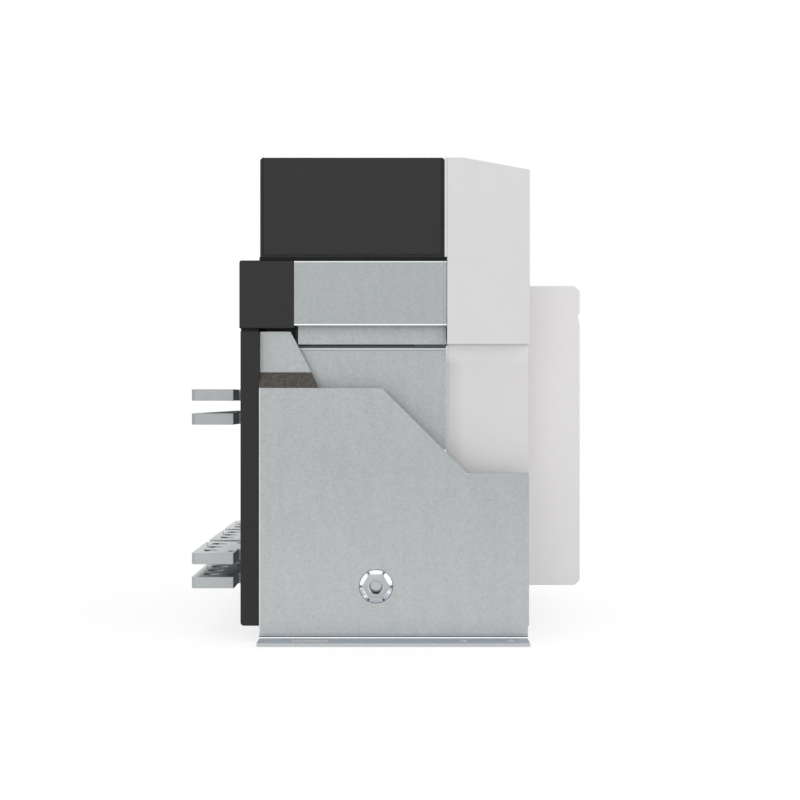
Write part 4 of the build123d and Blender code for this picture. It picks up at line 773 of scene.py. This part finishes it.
IRIS_MM = 1.6
brassy, tree, shader, where = finish("steel, yellow zinc passivated", "#B7A566", 0.9, 0.35)
iris = add(tree, "ShaderNodeTexNoise", {"Vector": where, "Scale": 1000 / IRIS_MM, "Detail": 3.0})
tint_between_shades(tree, shader, iris.outputs[0], "#A6945A", "#C6B679", iris.outputs[0], 0.01)
block_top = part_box("secondary_terminals")[1].z * 1000
BLOCK_PITCH = 50
WAY_PITCH = 9
blocks = [step * BLOCK_PITCH for step in (-2.5, -1.5, -0.5, 0.5, 1.5, 2.5)]
ways = [(block + step * WAY_PITCH, -91.5) for block in blocks for step in (-2, -1, 0, 1, 2)]
SCREW_SEAT = [(2.7, 0), (2.7, 0.25), (0.2, 0.25)]
spots = [(x, y, block_top) for x, y in ways]
seats = turned("wiring_screw_seats", SCREW_SEAT, spots, (0, 0, 1), brassy, "breaker", sides=16)
halves = [half_disc(x, y, 2.5, 0.4, side) for x, y in ways for side in (-1, 1)]
slot_floor, head_top = block_top + 0.25, block_top + 1.1
heads = flat_pieces("wiring_screw_heads", halves, "z", slot_floor, head_top, brassy, "breaker")


# Trip unit
# The electronic release: a dark-grey front in a fine matt texture, with a sunk display above the
# setting dials.
MATT_MM = 0.6
trip_plastic, tree, shader, where = finish("anthracite ABS, matt texture", "#2B2D30", 0.0, 0.55)
matt_grain = add(tree, "ShaderNodeTexNoise", {"Vector": where, "Scale": 1000 / MATT_MM, "Detail": 2.0})
tint_between_shades(tree, shader, matt_grain.outputs[0], "#26282B", "#303236", matt_grain.outputs[0], 0.03)
dress(trip_plastic, "trip_unit", edge_mm=0.3)
unit_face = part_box("trip_unit")[0].y * 1000


# Display of the trip unit
# A reflective liquid-crystal cell behind a thin window, showing one bar a pole for its current.
PIXEL_MM = 1.2
cell, tree, shader, where = finish("reflective liquid-crystal cell", "#8E9C86", 0.0, 0.25)
upright = {"Vector": where, "Angle": math.radians(90)}
turned_up = add(tree, "ShaderNodeVectorRotate", upright, rotation_type="X_AXIS")
grid = {"Vector": turned_up.outputs[0], "Scale": 1000 / PIXEL_MM, "Mortar Size": 0.06}
grid |= {"Color1": linear("#909E88"), "Color2": linear("#8C9A84"), "Mortar": linear("#808D79")}
pixels = add(tree, "ShaderNodeTexBrick", grid)
tree.links.new(pixels.outputs["Color"], shader.inputs["Base Color"])
window = [square(-122.0, -51.0, 207.0, 243.0)]
back, front = unit_face + 0.15, unit_face + 0.95
glass = flat_pieces("trip_display", window, "y", back, front, cell, "breaker", edge_mm=0.1)

BLEED_MM = 0.8
segment, tree, shader, where = finish("dark liquid-crystal segment", "#2E342C", 0.0, 0.3)
bleed = add(tree, "ShaderNodeTexNoise", {"Vector": where, "Scale": 1000 / BLEED_MM, "Detail": 1.0})
tint_between_shades(tree, shader, bleed.outputs[0], "#292F28", "#353B32")
bars = []
for pole, high in enumerate((21, 23, 20)):
    bars.append(square(-114 + 13 * pole, -105 + 13 * pole, 212, 212 + high))
for line in range(4):
    bars.append(square(-70, -56, 212 + 6 * line, 214.4 + 6 * line))
back, front = unit_face + 0.1, unit_face + 0.16
readings = flat_pieces("trip_display_bars", bars, "y", back, front, segment, "breaker")


# Keys, lamps and dial scales of the trip unit
# Four silicone keys under the display, three small status lamps above it, and dots printed round
# each dial for its settings.
DUST_MM = 1.0
rubber, tree, shader, where = finish("light-grey silicone key", "#9DA1A4", 0.0, 0.6)
dusty = add(tree, "ShaderNodeTexNoise", {"Vector": where, "Scale": 1000 / DUST_MM, "Detail": 2.0})
tint_between_shades(tree, shader, dusty.outputs[0], "#979B9E", "#A4A8AB", dusty.outputs[0], 0.01)
KEY = [(3.6, 0), (3.5, 0.4), (3.0, 0.6), (0.2, 0.6)]
spots = [(x, unit_face, 196) for x in (-114, -96, -78, -60)]
keys = turned("trip_keys", KEY, spots, (0, -1, 0), rubber, "breaker")

BLUR_MM = 1.2
LAMP_LENS = [(1.5, 0), (1.4, 0.35), (0.8, 0.6), (0.2, 0.65)]
for name, code, x in (
    ("ready", "#3E9B57", -114),
    ("warning", "#D7A32C", -104),
    ("tripped", "#B5352D", -94),
):
    acrylic, tree, shader, where = finish(f"{name} lamp, diffused acrylic", code, 0.0, 0.2)
    inner = add(tree, "ShaderNodeTexNoise", {"Vector": where, "Scale": 1000 / BLUR_MM, "Detail": 1.0})
    deep = add(tree, "ShaderNodeHueSaturation", {"Value": 0.75, "Color": linear(code)})
    tree.links.new(deep.outputs[0], shader.inputs["Base Color"])
    lay_over(tree, shader, inner.outputs[0], code)
    spot = [(x, unit_face, 252)]
    lamp_lens = turned(f"trip_lamp_{name}", LAMP_LENS, spot, (0, -1, 0), acrylic, "breaker")

SCREEN_MM = 0.5
print_white, tree, shader, where = finish("white printing ink", "#D9DADA", 0.0, 0.5)
screen = add(tree, "ShaderNodeTexNoise", {"Vector": where, "Scale": 1000 / SCREEN_MM, "Detail": 1.0})
tint_between_shades(tree, shader, screen.outputs[0], "#CFD0D0", "#E0E1E1")
DOT = [(0.55, 0), (0.55, 0.06), (0.1, 0.06)]
DOTS_OFF = 9.6
dots = []
for column in range(3):
    for z in (134, 162):
        x = -139.2 + (0.2 + 0.17 * column) * 145
        dots += [(x + step * 4, unit_face, z + DOTS_OFF) for step in (-2, -1, 0, 1, 2)]
        for side in (-DOTS_OFF, DOTS_OFF):
            dots += [(x + side, unit_face, z + rise) for rise in (-5, -1, 3, 7)]
scales = turned("trip_dial_scales", DOT, dots, (0, -1, 0), print_white, "breaker", sides=10)


# Clear flap over the trip unit
# Injection-moulded clear polycarbonate, hinged at its left edge; a breath of blue, no texture.
RIPPLE_MM = 40.0
glassy = {"IOR": 1.585, "Transmission_Weight": 1.0}
clear, tree, shader, where = finish("clear polycarbonate", "#EEF3F5", 0.0, 0.05, **glassy)
ripple = add(tree, "ShaderNodeTexNoise", {"Vector": where, "Scale": 1000 / RIPPLE_MM, "Detail": 1.0})
tint_between_shades(tree, shader, ripple.outputs[0], "#EBF1F3", "#F2F6F7", ripple.outputs[0], 0.02)
dress(clear, "trip_cover")


# Charging handle
# Dark-grey glass-filled polyamide, satin from wear on the grip, with raised ribs for the fingers
# and a printed arrow that shows the pumping stroke.
FIBRE_MM = 0.8
handle_plastic, tree, shader, where = finish("dark-grey glass-filled polyamide", "#33363A", 0.0, 0.45)
fibres = add(tree, "ShaderNodeMapping", {"Vector": where, "Scale": (0.3, 1.0, 1.0)})
along = {"Vector": fibres.outputs[0], "Scale": 1000 / FIBRE_MM, "Detail": 3.0}
fibre = add(tree, "ShaderNodeTexNoise", along)
tint_between_shades(tree, shader, fibre.outputs[0], "#2D3034", "#3B3E43", fibre.outputs[0], 0.03)
dress(handle_plastic, "charging_handle", "racking_shutter", "panel_guides", edge_mm=0.4)
grip_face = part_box("charging_handle")[0].y * 1000
ribs = [square(80, 116, z, z + 2.4) for z in (230, 236, 242, 248)]
front, back = grip_face - 0.5, grip_face + 0.3
grip = flat_pieces("handle_ribs", ribs, "y", front, back, handle_plastic, "handle", edge_mm=0.3)
ARROW = [(97.9, 172), (108, 184), (101.9, 184), (101.9, 212), (93.9, 212), (93.9, 184), (87.8, 184)]
front, back = grip_face + 3.8, grip_face + 4.2
stroke = flat_pieces("handle_arrow", [ARROW], "y", front, back, print_white, "handle")


# Push buttons
# Injection-moulded in through-dyed polyamide: red to open, green to close, with the generic signs
# for off and on inlaid in white.
DYE_MM = 1.5


def dyed(name, code, dark, light):
    """A through-dyed satin plastic."""
    material, tree, shader, where = finish(name, code, 0.0, 0.38)
    mottled = add(tree, "ShaderNodeTexNoise", {"Vector": where, "Scale": 1000 / DYE_MM, "Detail": 3.0})
    tint_between_shades(tree, shader, mottled.outputs[0], dark, light, mottled.outputs[0], 0.01)
    return material


red = dyed("red polyamide", "#B02A22", "#A3241D", "#BA322A")
dress(red, "off_button", "reset_button", edge_mm=0.4)
dress(dyed("green polyamide", "#1F7A43", "#1A6E3B", "#26864B"), "on_button", edge_mm=0.4)
OFF_X, ON_X = -5.8, 37.7
button_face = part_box("off_button")[0].y * 1000
centre = [(OFF_X, button_face, 232)]
RING = [(5.2, 0), (5.2, 0.25), (3.7, 0.25)]
CORE = [(3.7, 0), (3.7, 0.28), (0.2, 0.28)]
off_sign = turned("off_sign", RING, centre, (0, -1, 0), print_white, "off_push", sides=32)
core = turned("off_sign_core", CORE, centre, (0, -1, 0), red, "off_push", sides=32)
stroke = [square(ON_X - 0.8, ON_X + 0.8, 227, 237)]
front, back = button_face - 0.25, button_face + 0.1
on_sign = flat_pieces("on_sign", stroke, "y", front, back, print_white, "on_push")


# Contact flag and spring flag
# Two-colour printed plates behind small windows. The contact flag shows green with a ring while
# the contacts are open; lifted by the pole shaft it shows red with a bar. The spring flag turns
# yellow.
FLAG_Z = 190.0
LIFT = 14.0
BORDER_Z = FLAG_Z - LIFT / 2


def two_colours(name, upper, lower):
    """A printed plate in one colour above its border and another below it."""
    material, tree, shader, where = finish(name, upper, 0.0, 0.4)
    height = add(tree, "ShaderNodeSeparateXYZ", {0: where}).outputs["Z"]
    above = add(tree, "ShaderNodeMath", {0: height, 1: BORDER_Z / 1000}, operation="GREATER_THAN")
    screen = add(tree, "ShaderNodeTexNoise", {"Vector": where, "Scale": 1000 / SCREEN_MM, "Detail": 1.0})
    tint_between_shades(tree, shader, above.outputs[0], lower, upper, screen.outputs[0], 0.01)
    return material


flag_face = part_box("contact_flag")[0].y * 1000
flag_print = two_colours("contact flag print", "#21804A", "#AD2B23")
dress(flag_print, "contact_flag")
dress(two_colours("spring flag print", "#DADBD8", "#D9A520"), "spring_flag")
FLAG_RING = [(4.2, 0), (4.2, 0.12), (3.1, 0.12)]
FLAG_CORE = [(3.1, 0), (3.1, 0.14), (0.2, 0.14)]
centre = [(OFF_X, flag_face, FLAG_Z)]
out, flag = (0, -1, 0), "open_closed_flag"
contact_ring = turned("contact_flag_ring", FLAG_RING, centre, out, print_white, flag, sides=32)
contact_core = turned("contact_flag_core", FLAG_CORE, centre, out, flag_print, flag, sides=32)
closed_z = FLAG_Z - LIFT
stroke = [square(OFF_X - 0.7, OFF_X + 0.7, closed_z - 4.5, closed_z + 4.5)]
closed_bar = flat_pieces("contact_flag_bar", stroke, "y", flag_face - 0.12, flag_face, print_white, flag)

ink, tree, shader, where = finish("dark printing ink", "#2A2B2D", 0.0, 0.5)
screen = add(tree, "ShaderNodeTexNoise", {"Vector": where, "Scale": 1000 / SCREEN_MM, "Detail": 1.0})
tint_between_shades(tree, shader, screen.outputs[0], "#242527", "#313235")


def spring_sign(middle, high):
    """A zigzag of short strips: tall for a slack spring, low for a charged one."""
    strips = []
    for turn in range(6):
        x0, x1 = ON_X - 6 + 2 * turn, ON_X - 4 + 2 * turn
        z0, z1 = (middle - high, middle + high) if turn % 2 else (middle + high, middle - high)
        strips.append([(x0 - 0.3, z0), (x0 + 0.3, z0), (x1 + 0.3, z1), (x1 - 0.3, z1)])
    return strips


zigzags = spring_sign(FLAG_Z, 2.2) + spring_sign(FLAG_Z - LIFT, 3.8)
front, flag = flag_face - 0.12, "charged_flag"
spring_print = flat_pieces("spring_flag_sign", zigzags, "y", front, flag_face, ink, flag)


# Position pointer and padlock tongue
# Both are punched and painted bright yellow, because the operator looks for them. Three printed
# strokes over the pointer's window mark connected, test and withdrawn.
yellow = dyed("yellow powder paint", "#D8A31C", "#CD9814", "#E2AE2B")
dress(yellow, "position_pointer", "lock_slide", edge_mm=0.3)
panel_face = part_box("operator_panel")[0].y * 1000
strokes = [square(x - 0.6, x + 0.6, 70.5, 75) for x in (46, 58, 70)]
front, back = panel_face - 0.08, panel_face + 0.02
marks = flat_pieces("position_marks", strokes, "y", front, back, ink, "breaker")
